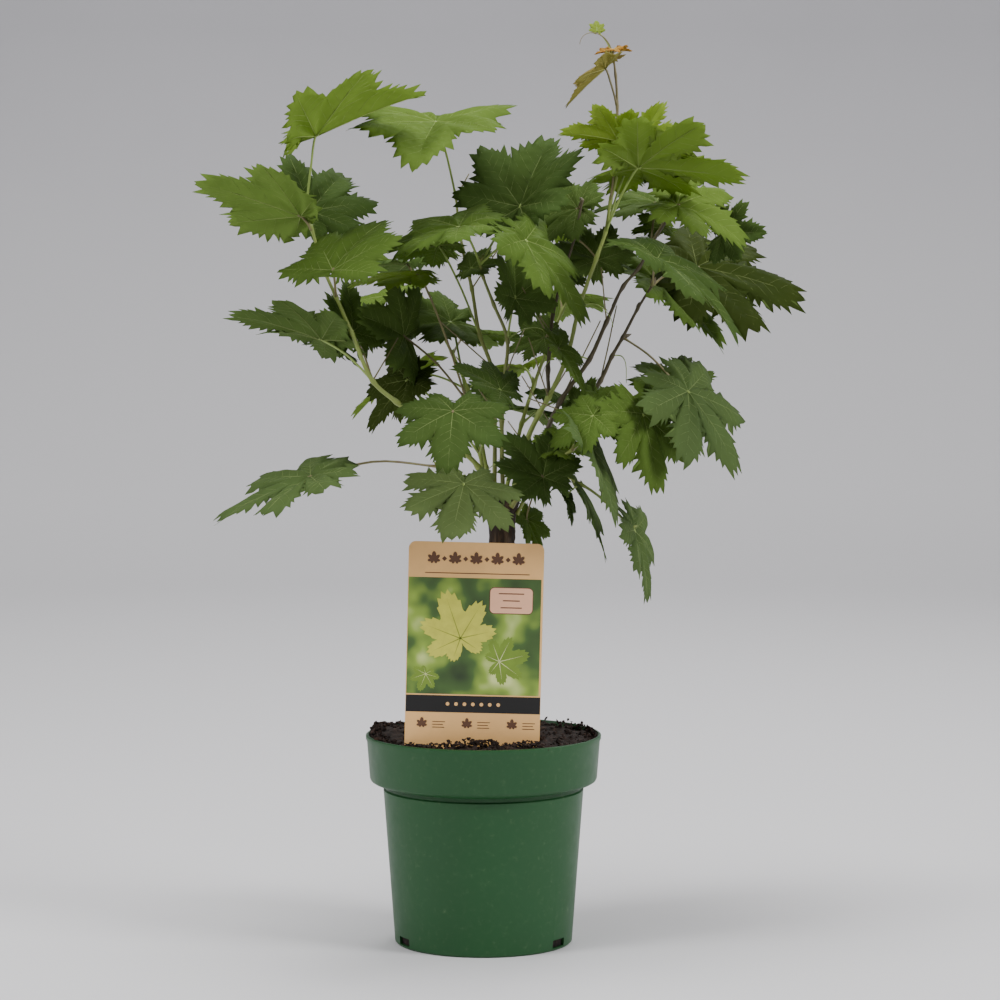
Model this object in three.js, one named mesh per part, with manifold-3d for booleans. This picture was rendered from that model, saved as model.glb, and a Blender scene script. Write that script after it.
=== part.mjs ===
// A young grape vine in a nursery pot with a picture tag.
// Millimetres, +Z up, origin in the middle of the pot's flat underside, the tag's face towards -Y.
// Headings are degrees anticlockwise from +X seen from above; a rise is degrees above level.
import * as THREE from "three";
import { mergeVertices } from "three/addons/utils/BufferGeometryUtils.js";
import Module from "manifold-3d";

const wasm = await Module();
wasm.setup();

// Pot and soil

const CLEAR = 0.3;
const POT_HEIGHT = 152;
const RIM_RADIUS = 85;
const BAND_HEIGHT = 32;
const BAND_FOOT_RADIUS = 82.5;
const NECK_RADIUS = 73;
const NECK_HEIGHT = 114;
const BASE_RADIUS = 64.5;
const WALL = 1.8;
const FLOOR = 2;
const POT_SEGMENTS = 32;
const NOTCH_WIDTH = 15;
const NOTCH_HEIGHT = 6;
const NOTCH_HEADINGS = [327, 208, 90];
const SOIL_TOP = 149;
const SOIL_EDGE = 145;

// Picture tag

const TAG_WIDTH = 96;
const TAG_TOP = 296;
const TAG_SHOULDER = 150.6;
const TAG_FOOT_WIDTH = 60;
const TAG_FOOT_Z = 124;
const TAG_CORNER = 5;
const TAG_THICKNESS = 1.2;
const TAG_X = -8;
const TAG_Y = -54;
const TAG_LEAN = 1.4;

// Trunk

const TRUNK_PATH = [
  [9, 0, 140],
  [9, 0, 165],
  [11, 1, 220],
  [12, 0, 275],
  [14, 0, 310],
  [14, 0, 330],
];
const TRUNK_GIRTH = [
  [0, 17],
  [0.06, 15],
  [0.14, 11.5],
  [0.45, 9.5],
  [0.8, 10],
  [0.9, 13],
  [0.96, 12],
  [1, 4],
];
const TRUNK_CUT = SOIL_TOP + CLEAR;

// Leaf blade: lobe tips and the dips between them as [angle from the tip, share of the length]

const LOBES = [
  [0, 1],
  [50, 0.88],
  [96, 0.76],
  [142, 0.5],
];
const DIPS = [
  [27, 0.64],
  [74, 0.57],
  [120, 0.47],
  [165, 0.32],
];
const NOTCH_SHARE = 0.1;
const LOBE_POWER = 1.3;
const BLADE_MIDDLE = 0.25;
const BLADE_THICKNESS = 1.1;
const STALK_RADIUS = 1.1;
const STALK_END_RADIUS = 0.45;
const STALK_ARCH = 0.07;
const BLADE_COLOUR = 0x5f8a34;
const BARK_COLOUR = 0x6b5236;
const SHOOT_COLOUR = 0x77803f;

// Shoots: the foot in the trunk's head, the joints as [length, heading, rise], the two radii,
// how many joints up the bare bough ends, and the leaves as
// [joint, stalk length, heading, rise, blade length, heading, dip, bank, fold, curl]

const SHOOTS = {
  left: {
    foot: [5, -6, 320],
    joints: [
      [28, 205, 70],
      [34, 205, 40],
      [46, 205, 35],
      [24, 205, 40],
      [38, 205, 65],
      [28, 205, 65],
      [18, 200, 65],
      [32, 215, 70],
      [14, 205, 70],
    ],
    radii: [2.8, 1.3],
    bare: 2.7,
    leaves: [
      [4, 50, 155, 35, 64, 180, -22, -20, 15, 0.12],
      [4, 58, 110, 35, 38, 95, -75, -40, 15, 0.12],
      [6, 48, 270, 27, 56, 60, -45, -10, 5, 0.12],
      [8, 40, 95, 20, 56, 60, -35, -35, 20, 0.12],
      [8, 12, 220, 40, 74, 190, -20, -25, 10, 0],
      [9, 54, 305, 75, 82, 10, -25, 10, 30, 0.05],
    ],
  },
  inner_left: {
    foot: [3, 2, 318],
    joints: [
      [38, 215, 80],
      [40, 160, 75],
    ],
    radii: [2.2, 1.4],
    bare: 0.7,
    leaves: [
      [1, 75, 170, 45, 44, 190, 45, 25, 10, 0.12],
      [1, 75, 285, 40, 36, 180, -35, 25, 15, 0.12],
      [2, 65, 170, 45, 50, 240, -20, 80, 20, 0.12],
      [2, 72, 105, 50, 48, 205, 0, 30, 15, 0.12],
      [2, 95, 200, 65, 48, 175, -5, -5, 15, 0.2],
    ],
  },
  mid_left: {
    foot: [8, 2, 326],
    joints: [
      [54, 90, 75],
      [40, 135, 85],
      [24, 180, 70],
      [34, 165, 80],
      [30, 150, 75],
      [22, 125, 75],
      [16, 125, 80],
    ],
    radii: [2.4, 1.2],
    bare: 2.5,
    leaves: [
      [3, 72, 180, 65, 42, 190, -10, -20, 0, 0.12],
      [7, 75, 255, 45, 78, 260, 18, 0, 20, 0.15],
    ],
  },
  centre: {
    foot: [14, 6, 328],
    joints: [
      [50, 115, 88],
      [32, 315, 85],
      [28, 325, 85],
      [28, 215, 65],
      [22, 215, 65],
      [10, 240, 65],
    ],
    radii: [2.4, 1.2],
    bare: 2.5,
    leaves: [
      [3, 32, 300, 70, 42, 85, -75, -40, 35, 0.12],
      [5, 14, 135, 25, 25, 345, -15, -35, 20, 0.12],
      [6, 62, 255, 25, 66, 170, 10, 15, 10, 0.12],
      [6, 50, 355, 55, 66, 60, -55, -5, 30, 0.12],
      [6, 66, 300, 15, 72, 355, 45, -10, 5, 0.12],
    ],
  },
  tall: {
    foot: [21, -2, 326],
    joints: [
      [40, 350, 75],
      [22, 345, 65],
      [14, 345, 60],
      [32, 345, 65],
      [36, 335, 75],
      [38, 340, 70],
      [20, 340, 70],
      [22, 335, 80],
      [18, 330, 75],
      [50, 70, 88],
      [22, 125, 85],
      [15, 165, 60],
    ],
    radii: [2.9, 0.9],
    bare: 6.5,
    leaves: [
      [7, 62, 5, 70, 40, 320, -60, 10, 15, 0.12],
      [7, 55, 315, 55, 76, 5, 0, 30, 20, 0.12],
      [8, 45, 290, 70, 40, 180, -15, -35, 25, 0.12],
      [10, 30, 190, 70, 36, 180, 40, 0, 10, 0.05],
      [12, 5, 20, 20, 13, 10, -5, 15, 25, 0.1],
      [12, 5, 200, 10, 11, 170, 5, 20, 25, 0.1],
      [12, 6, 280, 20, 11, 290, 10, -10, 25, 0.1],
      [12, 22, 165, 65, 9, 160, -15, 10, 20, 0.1],
    ],
  },
  second: {
    foot: [47, -8, 397],
    joints: [
      [20, 95, 75],
      [22, 70, 75],
      [18, 70, 75],
      [24, 45, 70],
      [36, 35, 70],
      [28, 35, 75],
    ],
    radii: [2.2, 1.2],
    bare: 0.75,
    leaves: [
      [2, 46, 95, 0, 28, 170, 15, 50, 20, 0.12],
      [2, 52, 275, -5, 36, 10, 50, -25, 15, 0.12],
      [4, 24, 120, 30, 30, 350, 15, -30, 15, 0.12],
      [5, 26, 30, -40, 38, 140, -50, 25, 15, 0.12],
      [6, 10, 115, -40, 40, 150, 5, 50, 5, 0.12],
    ],
  },
  right: {
    foot: [23, 6, 322],
    joints: [
      [47, 5, 65],
      [32, 10, 65],
      [36, 5, 55],
      [30, 10, 65],
      [28, 0, 65],
      [18, 350, 50],
      [18, 335, 60],
      [34, 335, 55],
    ],
    radii: [2.8, 1.2],
    bare: 5.7,
    leaves: [
      [7, 44, 80, 45, 46, 175, 0, 15, 10, 0.12],
      [7, 36, 335, 55, 52, 345, 15, -30, 25, 0.3],
      [7, 40, 75, 20, 22, 195, 5, 35, 20, 0.12],
      [8, 46, 30, -25, 32, 320, -5, -75, 20, 0.12],
    ],
  },
  far_right: {
    foot: [22, 12, 318],
    joints: [
      [58, 15, 53],
      [52, 10, 55],
      [20, 0, 65],
      [16, 345, 60],
      [25, 315, 55],
      [25, 305, 45],
    ],
    radii: [2.5, 1.2],
    bare: 3.4,
    leaves: [
      [4, 58, 20, -40, 42, 140, -30, 20, 15, 0.12],
      [5, 42, 65, 25, 64, 0, 35, -20, 15, 0.12],
      [6, 72, 60, 10, 80, 5, 10, -35, 0, 0.1],
      [6, 72, 270, 15, 75, 350, 30, -5, 15, 0.2],
    ],
  },
  low_right: {
    foot: [24, -2, 312],
    joints: [
      [38, 350, 58],
      [30, 10, -22],
      [21, 15, -35],
      [28, 15, -45],
    ],
    radii: [1.9, 1.1],
    bare: 0.7,
    leaves: [
      [1, 62, 105, -40, 28, 340, 60, -10, 15, 0.12],
      [2, 22, 105, 0, 58, 330, 55, 25, 10, 0.12],
      [2, 34, 110, -20, 20, 340, 70, 5, 15, 0.12],
      [4, 3, 15, -40, 50, 0, 70, -15, 10, 0.12],
    ],
  },
  mid_right: {
    foot: [20, -9, 318],
    joints: [
      [38, 330, 47],
      [30, 325, 30],
      [26, 340, 45],
    ],
    radii: [2.4, 1.2],
    bare: 0.7,
    leaves: [
      [1, 18, 20, 70, 30, 355, 5, -25, 15, 0.12],
      [1, 24, 270, -10, 42, 160, -50, 35, 15, 0.12],
      [2, 52, 80, 30, 24, 0, -75, -45, 20, 0.12],
      [2, 36, 285, 10, 58, 340, 60, 10, 10, 0.12],
      [3, 12, 40, 75, 40, 345, 25, -25, 10, 0.12],
      [3, 44, 80, 10, 32, 55, 0, -40, 20, 0.12],
      [3, 48, 265, 10, 35, 190, 30, 35, 5, 0.12],
      [3, 37, 330, 13, 54, 320, 70, 0, 5, 0.1],
      [3, 68, 0, 20, 64, 350, 50, -25, 0, 0.12],
    ],
  },
  low_left: {
    foot: [8, -11, 315],
    joints: [
      [36, 220, 40],
      [30, 230, 22],
    ],
    radii: [1.9, 1.3],
    bare: 0.7,
    leaves: [
      [1, 70, 270, 2, 52, 260, 35, 10, -5, 0.05],
      [2, 74, 280, 35, 50, 265, 40, 0, 5, 0.12],
      [2, 102, 210, -2, 68, 185, 20, 10, 5, 0.05],
    ],
  },
  back_left: {
    foot: [7, 8, 318],
    joints: [
      [30, 110, 60],
      [32, 110, 60],
      [32, 120, 60],
      [30, 140, 60],
      [30, 155, 60],
      [26, 165, 60],
    ],
    radii: [2.4, 1.2],
    bare: 1.75,
    seed: 2778,
  },
  back_right: {
    foot: [14, 12, 318],
    joints: [
      [32, 65, 60],
      [34, 65, 60],
      [32, 55, 60],
      [32, 50, 60],
      [30, 45, 60],
      [28, 40, 60],
      [24, 45, 65],
    ],
    radii: [2.4, 1.2],
    bare: 1.7,
    seed: 3418,
    fallen: [4],
  },
};
const SECOND_FROM = "tall";
const BOUGH_SIDES = 8;
const STEM_SIDES = 6;
const STALK_SIDES = 3;
const LONG_JOINT = 34;
const SMALL_LEAF = 24;
const TIDY = 0.07;

// A shoot without leaf rows of its own grows them by a seeded rule, left and right in turn,
// and a fallen leaf leaves its joint bare

const RULE_TURN = [35, 70];
const RULE_STALK = [34, 48];
const RULE_RISE = [10, 30];
const RULE_LENGTH = [46, 60];
const RULE_DIP = [6, 30];
const RULE_BANK = [-14, 14];
const RULE_FOLD = [8, 18];

const rad = THREE.MathUtils.degToRad;

// The direction of a heading and a rise
function aim(heading, rise) {
  const level = Math.cos(rad(rise));
  return new THREE.Vector3(
    level * Math.cos(rad(heading)),
    level * Math.sin(rad(heading)),
    Math.sin(rad(rise)),
  );
}

// A three.js geometry as a closed solid
function solid(geometry) {
  geometry.deleteAttribute("normal");
  geometry.deleteAttribute("uv");
  const welded = mergeVertices(geometry, 1e-4);
  return new wasm.Manifold(
    new wasm.Mesh({
      numProp: 3,
      vertProperties: new Float32Array(welded.attributes.position.array),
      triVerts: new Uint32Array(welded.index.array),
    }),
  );
}

// A solid as a named mesh
function meshOf(name, body, colour) {
  const mesh = body.getMesh();
  const geometry = new THREE.BufferGeometry();
  geometry.setAttribute("position", new THREE.BufferAttribute(new Float32Array(mesh.vertProperties), 3));
  geometry.setIndex(new THREE.BufferAttribute(new Uint32Array(mesh.triVerts), 1));
  geometry.computeVertexNormals();
  const out = new THREE.Mesh(geometry, new THREE.MeshStandardMaterial({ color: colour, roughness: 0.7 }));
  out.name = name;
  return out;
}

// A radius read from rows of [share of the way, radius]
function girth(rows, share) {
  for (let i = 1; i < rows.length; i++) {
    if (share <= rows[i][0]) {
      const part = (share - rows[i - 1][0]) / (rows[i][0] - rows[i - 1][0]);
      return THREE.MathUtils.lerp(rows[i - 1][1], rows[i][1], part);
    }
  }
  return rows[rows.length - 1][1];
}

// A round limb along a curve, ringed at each of the stations given as shares of the curve
function limb(curve, stations, radiusAt, sides) {
  const steps = stations.length - 1;
  const body = new THREE.CylinderGeometry(1, 1, 1, sides, steps);
  const place = body.attributes.position;
  let tangent = curve.getTangent(stations[0]);
  let side = new THREE.Vector3(0.31, 0.87, 0.17).cross(tangent).normalize();
  const rings = stations.map((share) => {
    const next = curve.getTangent(share);
    side = side.clone().applyQuaternion(new THREE.Quaternion().setFromUnitVectors(tangent, next));
    tangent = next;
    return { at: curve.getPoint(share), side, over: side.clone().cross(tangent), radius: radiusAt(share) };
  });
  for (let i = 0; i < place.count; i++) {
    const ring = rings[Math.round((place.getY(i) + 0.5) * steps)];
    const spot = ring.at.clone();
    spot.addScaledVector(ring.side, place.getX(i) * ring.radius);
    spot.addScaledVector(ring.over, place.getZ(i) * ring.radius);
    place.setXYZ(i, spot.x, spot.y, spot.z);
  }
  return solid(body);
}

// The leaf's edge, as [angle from the tip, share of the length], from the tip right round
function edgeOfLeaf() {
  const half = [];
  for (let i = 0; i < LOBES.length; i++) {
    const [at, reach] = LOBES[i];
    const [dip, low] = DIPS[i];
    half.push([at, reach]);
    if (i < 2) {
      half.push([(at + dip) / 2, low + (reach - low) * (1 - 0.5 ** LOBE_POWER)]);
    }
    half.push([dip, low]);
    if (i < 1) {
      const [after, far] = LOBES[i + 1];
      half.push([(after + dip) / 2, low + (far - low) * (1 - 0.5 ** LOBE_POWER)]);
    }
  }
  const back = half.slice(1).reverse();
  return [...half, [180, NOTCH_SHARE], ...back.map(([at, reach]) => [-at, reach])];
}

const EDGE = edgeOfLeaf();
const SMALL_EDGE = EDGE.filter(([at]) => at === 180 || [...LOBES, ...DIPS].some(([own]) => own === Math.abs(at)));

// A blade from its junction: u to the tip, v to its right, n out of its upper face
function blade(junction, length, heading, dip, bank, fold, curl) {
  const u = aim(heading, -dip);
  const level = new THREE.Vector3(Math.sin(rad(heading)), -Math.cos(rad(heading)), 0);
  const v = level.clone().applyAxisAngle(u, -rad(bank));
  const n = v.clone().cross(u);
  const edge = length < SMALL_LEAF ? SMALL_EDGE : EDGE;
  const body = new THREE.CylinderGeometry(1, 1, BLADE_THICKNESS, edge.length, 1);
  const place = body.attributes.position;
  for (let i = 0; i < place.count; i++) {
    const x = place.getX(i);
    const z = place.getZ(i);
    let reach = BLADE_MIDDLE;
    let angle = 0;
    if (x * x + z * z > 0.5) {
      const turn = Math.round((Math.atan2(-x, z) / (2 * Math.PI)) * edge.length + edge.length);
      [angle, reach] = edge[turn % edge.length];
    }
    const right = reach * Math.sin(rad(angle));
    const along = reach * Math.cos(rad(angle));
    const up = Math.abs(right) * Math.sin(rad(fold)) - curl * reach * reach;
    const spot = junction.clone();
    spot.addScaledVector(v, right * Math.cos(rad(fold)) * length);
    spot.addScaledVector(u, along * length);
    spot.addScaledVector(n, up * length + place.getY(i));
    place.setXYZ(i, spot.x, spot.y, spot.z);
  }
  return solid(body);
}

// A stalk from a joint of the shoot to the junction of its blade, sunk into both
function stalk(start, junction, toTip) {
  const chord = junction.clone().sub(start);
  const middle = start.clone().addScaledVector(chord, 0.5);
  middle.z += STALK_ARCH * chord.length();
  const end = junction.clone().addScaledVector(toTip, 2.2);
  const path = new THREE.CatmullRomCurve3([start, middle, junction, end]);
  const stations = chord.length() > LONG_JOINT ? [0, 1 / 6, 1 / 3, 1 / 2, 2 / 3, 1] : [0, 1 / 3, 2 / 3, 1];
  return limb(path, stations, (share) => (share < 1 ? STALK_RADIUS : STALK_END_RADIUS), STALK_SIDES);
}

// The joints of a shoot as points, and the curve through them
function pathOf(shoot) {
  const points = [new THREE.Vector3(...shoot.foot)];
  for (const [length, heading, rise] of shoot.joints) {
    points.push(points[points.length - 1].clone().addScaledVector(aim(heading, rise), length));
  }
  return { points, curve: new THREE.CatmullRomCurve3(points) };
}

// The shares of a shoot's curve between two counts of joints: each joint, and the middle of a long one
function stationsOf(shoot, from, to) {
  const counts = [from];
  for (let joint = 0; joint < shoot.joints.length; joint++) {
    const between = shoot.joints[joint][0] > LONG_JOINT ? [joint, joint + 0.5] : [joint];
    counts.push(...between.filter((count) => count > from + 0.15 && count < to - 0.15));
  }
  return [...counts, to].map((count) => count / shoot.joints.length);
}

// Pot: a spun wall and floor with drain notches at the foot

function makePot() {
  const band = POT_HEIGHT - BAND_HEIGHT;
  const profile = [
    [0, 0],
    [BASE_RADIUS, 0],
    [NECK_RADIUS, NECK_HEIGHT],
    [BAND_FOOT_RADIUS - 2, NECK_HEIGHT + 2.5],
    [BAND_FOOT_RADIUS, band],
    [RIM_RADIUS, POT_HEIGHT],
    [RIM_RADIUS - WALL, POT_HEIGHT],
    [BAND_FOOT_RADIUS - WALL, band + 0.8],
    [BAND_FOOT_RADIUS - WALL - 2, band - 1.4],
    [NECK_RADIUS - WALL, NECK_HEIGHT + 2],
    [BASE_RADIUS - WALL, FLOOR],
    [0, FLOOR],
  ];
  let body = solid(new THREE.LatheGeometry(
    profile.map(([r, z]) => new THREE.Vector2(r, z)),
    POT_SEGMENTS,
  ).rotateX(Math.PI / 2));
  for (const heading of NOTCH_HEADINGS) {
    const notch = new THREE.BoxGeometry(2 * WALL + 3, NOTCH_WIDTH, NOTCH_HEIGHT);
    notch.translate(BASE_RADIUS - 1, 0, FLOOR + NOTCH_HEIGHT / 2);
    notch.rotateZ(rad(heading));
    body = body.subtract(solid(notch));
  }
  return body;
}

// Soil: fills the pot, a little mounded, with a slit for the tag's foot

function makeSoil() {
  const inset = WALL + CLEAR;
  const band = POT_HEIGHT - BAND_HEIGHT;
  const rim = THREE.MathUtils.lerp(BAND_FOOT_RADIUS, RIM_RADIUS, (SOIL_EDGE - band) / BAND_HEIGHT);
  const profile = [
    [0, FLOOR + CLEAR],
    [BASE_RADIUS - inset, FLOOR + CLEAR],
    [NECK_RADIUS - inset - 0.1, NECK_HEIGHT + 2 + CLEAR],
    [BAND_FOOT_RADIUS - inset - 2.1, band - 1],
    [BAND_FOOT_RADIUS - inset - 0.2, band + 1.2],
    [rim - inset - 0.1, SOIL_EDGE],
    [64, SOIL_TOP - 1.2],
    [24, SOIL_TOP],
    [0, SOIL_TOP],
  ];
  const body = solid(new THREE.LatheGeometry(
    profile.map(([r, z]) => new THREE.Vector2(r, z)),
    POT_SEGMENTS,
  ).rotateX(Math.PI / 2));
  const slit = new THREE.BoxGeometry(TAG_FOOT_WIDTH + 2 * CLEAR, TAG_THICKNESS + 2 * CLEAR, 60);
  slit.translate(0, 0, TAG_FOOT_Z - CLEAR + 30 - TAG_SHOULDER);
  slit.rotateY(rad(TAG_LEAN));
  slit.translate(TAG_X, TAG_Y, TAG_SHOULDER);
  return body.subtract(solid(slit));
}

// Tag: a rounded card on a narrower foot

function makeTag() {
  const half = TAG_WIDTH / 2;
  const foot = TAG_FOOT_WIDTH / 2;
  const top = TAG_TOP - TAG_SHOULDER;
  const card = new THREE.Shape();
  card.moveTo(-foot, TAG_FOOT_Z - TAG_SHOULDER);
  card.lineTo(foot, TAG_FOOT_Z - TAG_SHOULDER);
  card.lineTo(foot, 0);
  card.lineTo(half, 0);
  card.lineTo(half, top - TAG_CORNER);
  card.absarc(half - TAG_CORNER, top - TAG_CORNER, TAG_CORNER, 0, Math.PI / 2);
  card.absarc(TAG_CORNER - half, top - TAG_CORNER, TAG_CORNER, Math.PI / 2, Math.PI);
  card.lineTo(-half, 0);
  card.lineTo(-foot, 0);
  const body = new THREE.ExtrudeGeometry(card, {
    depth: TAG_THICKNESS,
    bevelEnabled: false,
    curveSegments: 4,
  });
  body.translate(0, 0, -TAG_THICKNESS / 2);
  body.rotateX(Math.PI / 2);
  body.rotateY(rad(TAG_LEAN));
  body.translate(TAG_X, TAG_Y, TAG_SHOULDER);
  return solid(body);
}

// Trunk, flared at the soil and swollen where the shoots leave it

function makeTrunk(extra) {
  const points = TRUNK_PATH.map((at) => new THREE.Vector3(...at));
  points[points.length - 1].z += extra;
  const path = new THREE.CatmullRomCurve3(points);
  const stations = Array.from({ length: 15 }, (unused, i) => i / 14);
  const body = limb(path, stations, (share) => girth(TRUNK_GIRTH, share) + extra, 12);
  return extra ? body : body.trimByPlane([0, 0, 1], TRUNK_CUT);
}

const vine = new THREE.Group();
vine.name = "potted_grape_vine";
vine.add(meshOf("pot", makePot(), 0x35603c));
vine.add(meshOf("soil", makeSoil(), 0x2a211b));
vine.add(meshOf("picture_tag", makeTag(), 0xc9a877));
vine.add(meshOf("trunk", makeTrunk(0), BARK_COLOUR));

const trunkSkin = makeTrunk(CLEAR);

// The radius of a shoot at a share of its length, a little wider by the skin asked for
function taper(shoot, skin) {
  return (share) => THREE.MathUtils.lerp(shoot.radii[0], shoot.radii[1], share) + skin;
}

// The bare bough of a shoot, clear of the trunk and of the shoot it leaves
function makeBough(name, skin) {
  const shoot = SHOOTS[name];
  const { curve } = pathOf(shoot);
  return limb(curve, stationsOf(shoot, 0, shoot.bare), taper(shoot, skin), BOUGH_SIDES);
}

// The leaves of a shoot, as its own rows or by the seeded rule
function leavesOf(shoot) {
  if (shoot.leaves) {
    return shoot.leaves;
  }
  let state = shoot.seed;
  const pick = ([low, high]) => {
    state = (state * 1103515245 + 12345) % 2147483648;
    return low + ((high - low) * state) / 2147483648;
  };
  const rows = [];
  for (let joint = 2; joint <= shoot.joints.length; joint++) {
    const side = joint % 2 ? 1 : -1;
    const way = shoot.joints[joint - 1][1] + side * pick(RULE_TURN);
    const reach = pick(RULE_STALK);
    const rise = pick(RULE_RISE);
    const length = pick(RULE_LENGTH);
    const pose = [pick(RULE_DIP), pick(RULE_BANK), pick(RULE_FOLD)];
    if (!(shoot.fallen || []).includes(joint)) {
      rows.push([joint, reach, way, rise, length, way, ...pose, 0.1]);
    }
  }
  return rows;
}

// The leafy rest of a shoot: its stem, and each leaf's stalk and blade sunk into it
function makeFoliage(name) {
  const shoot = SHOOTS[name];
  const { points, curve } = pathOf(shoot);
  const share = shoot.bare / shoot.joints.length;
  const pace = curve.getPoint(share).distanceTo(curve.getPoint(share + 0.001)) / 0.001;
  const from = shoot.bare + ((1.15 * CLEAR) / pace) * shoot.joints.length;
  const parts = [limb(curve, stationsOf(shoot, from, shoot.joints.length), taper(shoot, 0), STEM_SIDES)];
  for (const [joint, reach, way, rise, length, heading, dip, bank, fold, curl] of leavesOf(shoot)) {
    const start = points[joint];
    const junction = start.clone().addScaledVector(aim(way, rise), reach);
    parts.push(stalk(start, junction, aim(heading, -dip)));
    parts.push(blade(junction, length, heading, dip, bank, fold, curl));
  }
  const shells = wasm.Manifold.union(parts).simplify(TIDY).decompose().filter((shell) => shell.volume() > 0);
  if (shells.length > 1) {
    throw new Error(name + " is in " + shells.length + " pieces");
  }
  return shells[0];
}

for (const name of Object.keys(SHOOTS)) {
  let bough = makeBough(name, 0).subtract(trunkSkin);
  if (name === "second") {
    bough = bough.subtract(makeBough(SECOND_FROM, CLEAR));
  }
  vine.add(meshOf("cane_" + name, bough, SHOOT_COLOUR));
  vine.add(meshOf("leaves_" + name, makeFoliage(name), BLADE_COLOUR));
}

export default vine;
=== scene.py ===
"""A young grape vine in a green nursery pot, with a picture tag.

The leaves, stalks and canes follow the same shoots as the frame's solids, with toothed and veined blades.
"""

import math
import random

import bmesh
import bpy
import numpy as np
from bpy.props import FloatProperty, FloatVectorProperty, IntProperty, PointerProperty
from mathutils import Matrix, Vector, noise


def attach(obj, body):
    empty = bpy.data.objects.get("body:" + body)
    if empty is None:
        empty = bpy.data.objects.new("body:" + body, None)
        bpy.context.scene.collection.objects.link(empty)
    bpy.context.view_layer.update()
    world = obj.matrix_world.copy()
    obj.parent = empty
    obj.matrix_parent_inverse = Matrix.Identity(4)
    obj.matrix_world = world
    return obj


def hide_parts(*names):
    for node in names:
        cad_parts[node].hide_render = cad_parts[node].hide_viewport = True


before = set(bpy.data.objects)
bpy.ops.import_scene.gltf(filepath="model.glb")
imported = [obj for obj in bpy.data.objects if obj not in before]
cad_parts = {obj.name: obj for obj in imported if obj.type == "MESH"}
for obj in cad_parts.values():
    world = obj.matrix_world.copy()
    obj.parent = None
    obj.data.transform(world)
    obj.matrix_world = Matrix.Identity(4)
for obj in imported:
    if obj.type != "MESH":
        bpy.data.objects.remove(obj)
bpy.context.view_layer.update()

bl_info = {
    "name": "Potted grape vine",
    "version": (1, 0, 0),
    "blender": (4, 5, 0),
    "location": "View3D > Sidebar > Vine",
    "description": "Builds a young grape vine in a nursery pot round its frame",
    "category": "Add Mesh",
}

# A millimetre in metres, and the gap between neighbouring solids in millimetres

MM = 0.001
CLEAR = 0.3

# The shoots, in millimetres and degrees: the foot in the trunk's head, the joints as [length, heading, rise],
# the radii at both ends, the count of joints where the bare cane ends, and the leaves as
# [joint, stalk length, heading, rise, blade length, heading, dip, bank, fold, curl, tone, depth of its cuts],
# with the shares of its hind and side lobes after that where they are small. From "ruddy" on the stem is red.
# A shoot with a seed has its leaves by rule, with none at its fallen joints

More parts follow.
